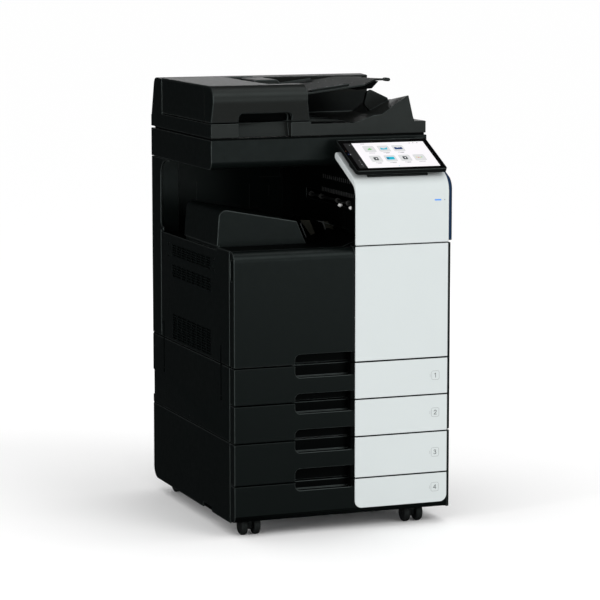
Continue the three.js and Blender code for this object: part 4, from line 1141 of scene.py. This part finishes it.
def studio_world(ambient, reflected, seen):
    """Soft light from all round, a dark room in the reflections, and a white backdrop."""
    world = bpy.data.worlds.new("Studio")
    world.use_nodes = True
    tree = world.node_tree
    tree.nodes.clear()
    path = tree.nodes.new("ShaderNodeLightPath")
    mirror = tree.nodes.new("ShaderNodeMixShader")
    direct = tree.nodes.new("ShaderNodeMixShader")
    output = tree.nodes.new("ShaderNodeOutputWorld")
    tree.links.new(path.outputs["Is Glossy Ray"], mirror.inputs["Fac"])
    tree.links.new(backdrop(tree, ambient), mirror.inputs[1])
    tree.links.new(backdrop(tree, reflected), mirror.inputs[2])
    tree.links.new(path.outputs["Is Camera Ray"], direct.inputs["Fac"])
    tree.links.new(mirror.outputs["Shader"], direct.inputs[1])
    tree.links.new(backdrop(tree, seen), direct.inputs[2])
    tree.links.new(direct.outputs["Shader"], output.inputs["Surface"])
    SCENE.world = world


def aimed(place, target):
    """Rotation of a camera or lamp at place that points at target."""
    return (Vector(target) - Vector(place)).to_track_quat("-Z", "Y").to_euler()


def softbox(name, place, target, size, power):
    """Rectangular lamp that the camera doesn't see."""
    lamp = bpy.data.lights.new(name, "AREA")
    lamp.shape = "RECTANGLE"
    lamp.size, lamp.size_y = size
    lamp.energy = power
    box = bpy.data.objects.new(name, lamp)
    box.location = place
    box.rotation_euler = aimed(place, target)
    box.visible_camera = False
    SCENE.collection.objects.link(box)


def sunlight(name, place, target, strength, softness_deg):
    """Even light from the direction of place, as soft as the angle that it fills."""
    lamp = bpy.data.lights.new(name, "SUN")
    lamp.energy = strength
    lamp.angle = math.radians(softness_deg)
    sun = bpy.data.objects.new(name, lamp)
    sun.location = place
    sun.rotation_euler = aimed(place, target)
    SCENE.collection.objects.link(sun)


def camera(place, target, lens):
    """The view of the photograph; lens is in millimetres."""
    data = bpy.data.cameras.new("Camera")
    data.sensor_width = 36
    data.lens = lens
    data.clip_end = 100
    view = bpy.data.objects.new("Camera", data)
    view.location = place
    view.rotation_euler = aimed(place, target)
    SCENE.collection.objects.link(view)
    SCENE.camera = view


studio_floor()
studio_world((0.885, 0.885, 0.885), (0.022, 0.023, 0.024), (1.3, 1.3, 1.3))
sunlight("KeyLight", (1.7, -2.9, 3.3), KEY_TARGET, 0.55, 30)
softbox("FeederGlint", (1.8, 4.7, 1.94), FEEDER_TARGET, (2.6, 0.9), 14)
softbox("EdgeLight", (-4.6, -1.76, 0.7), KEY_TARGET, (0.35, 3.0), 80)
softbox("FrontGlint", (1.9, -5.0, 1.0), KEY_TARGET, (2.4, 1.8), 24)
softbox("TopGlint", (1.05, -0.4, 3.6), KEY_TARGET, (1.2, 1.2), 8)
camera(CAMERA_PLACE, CAMERA_TARGET, LENS_MM)
SCENE.view_settings.view_transform = "Standard"
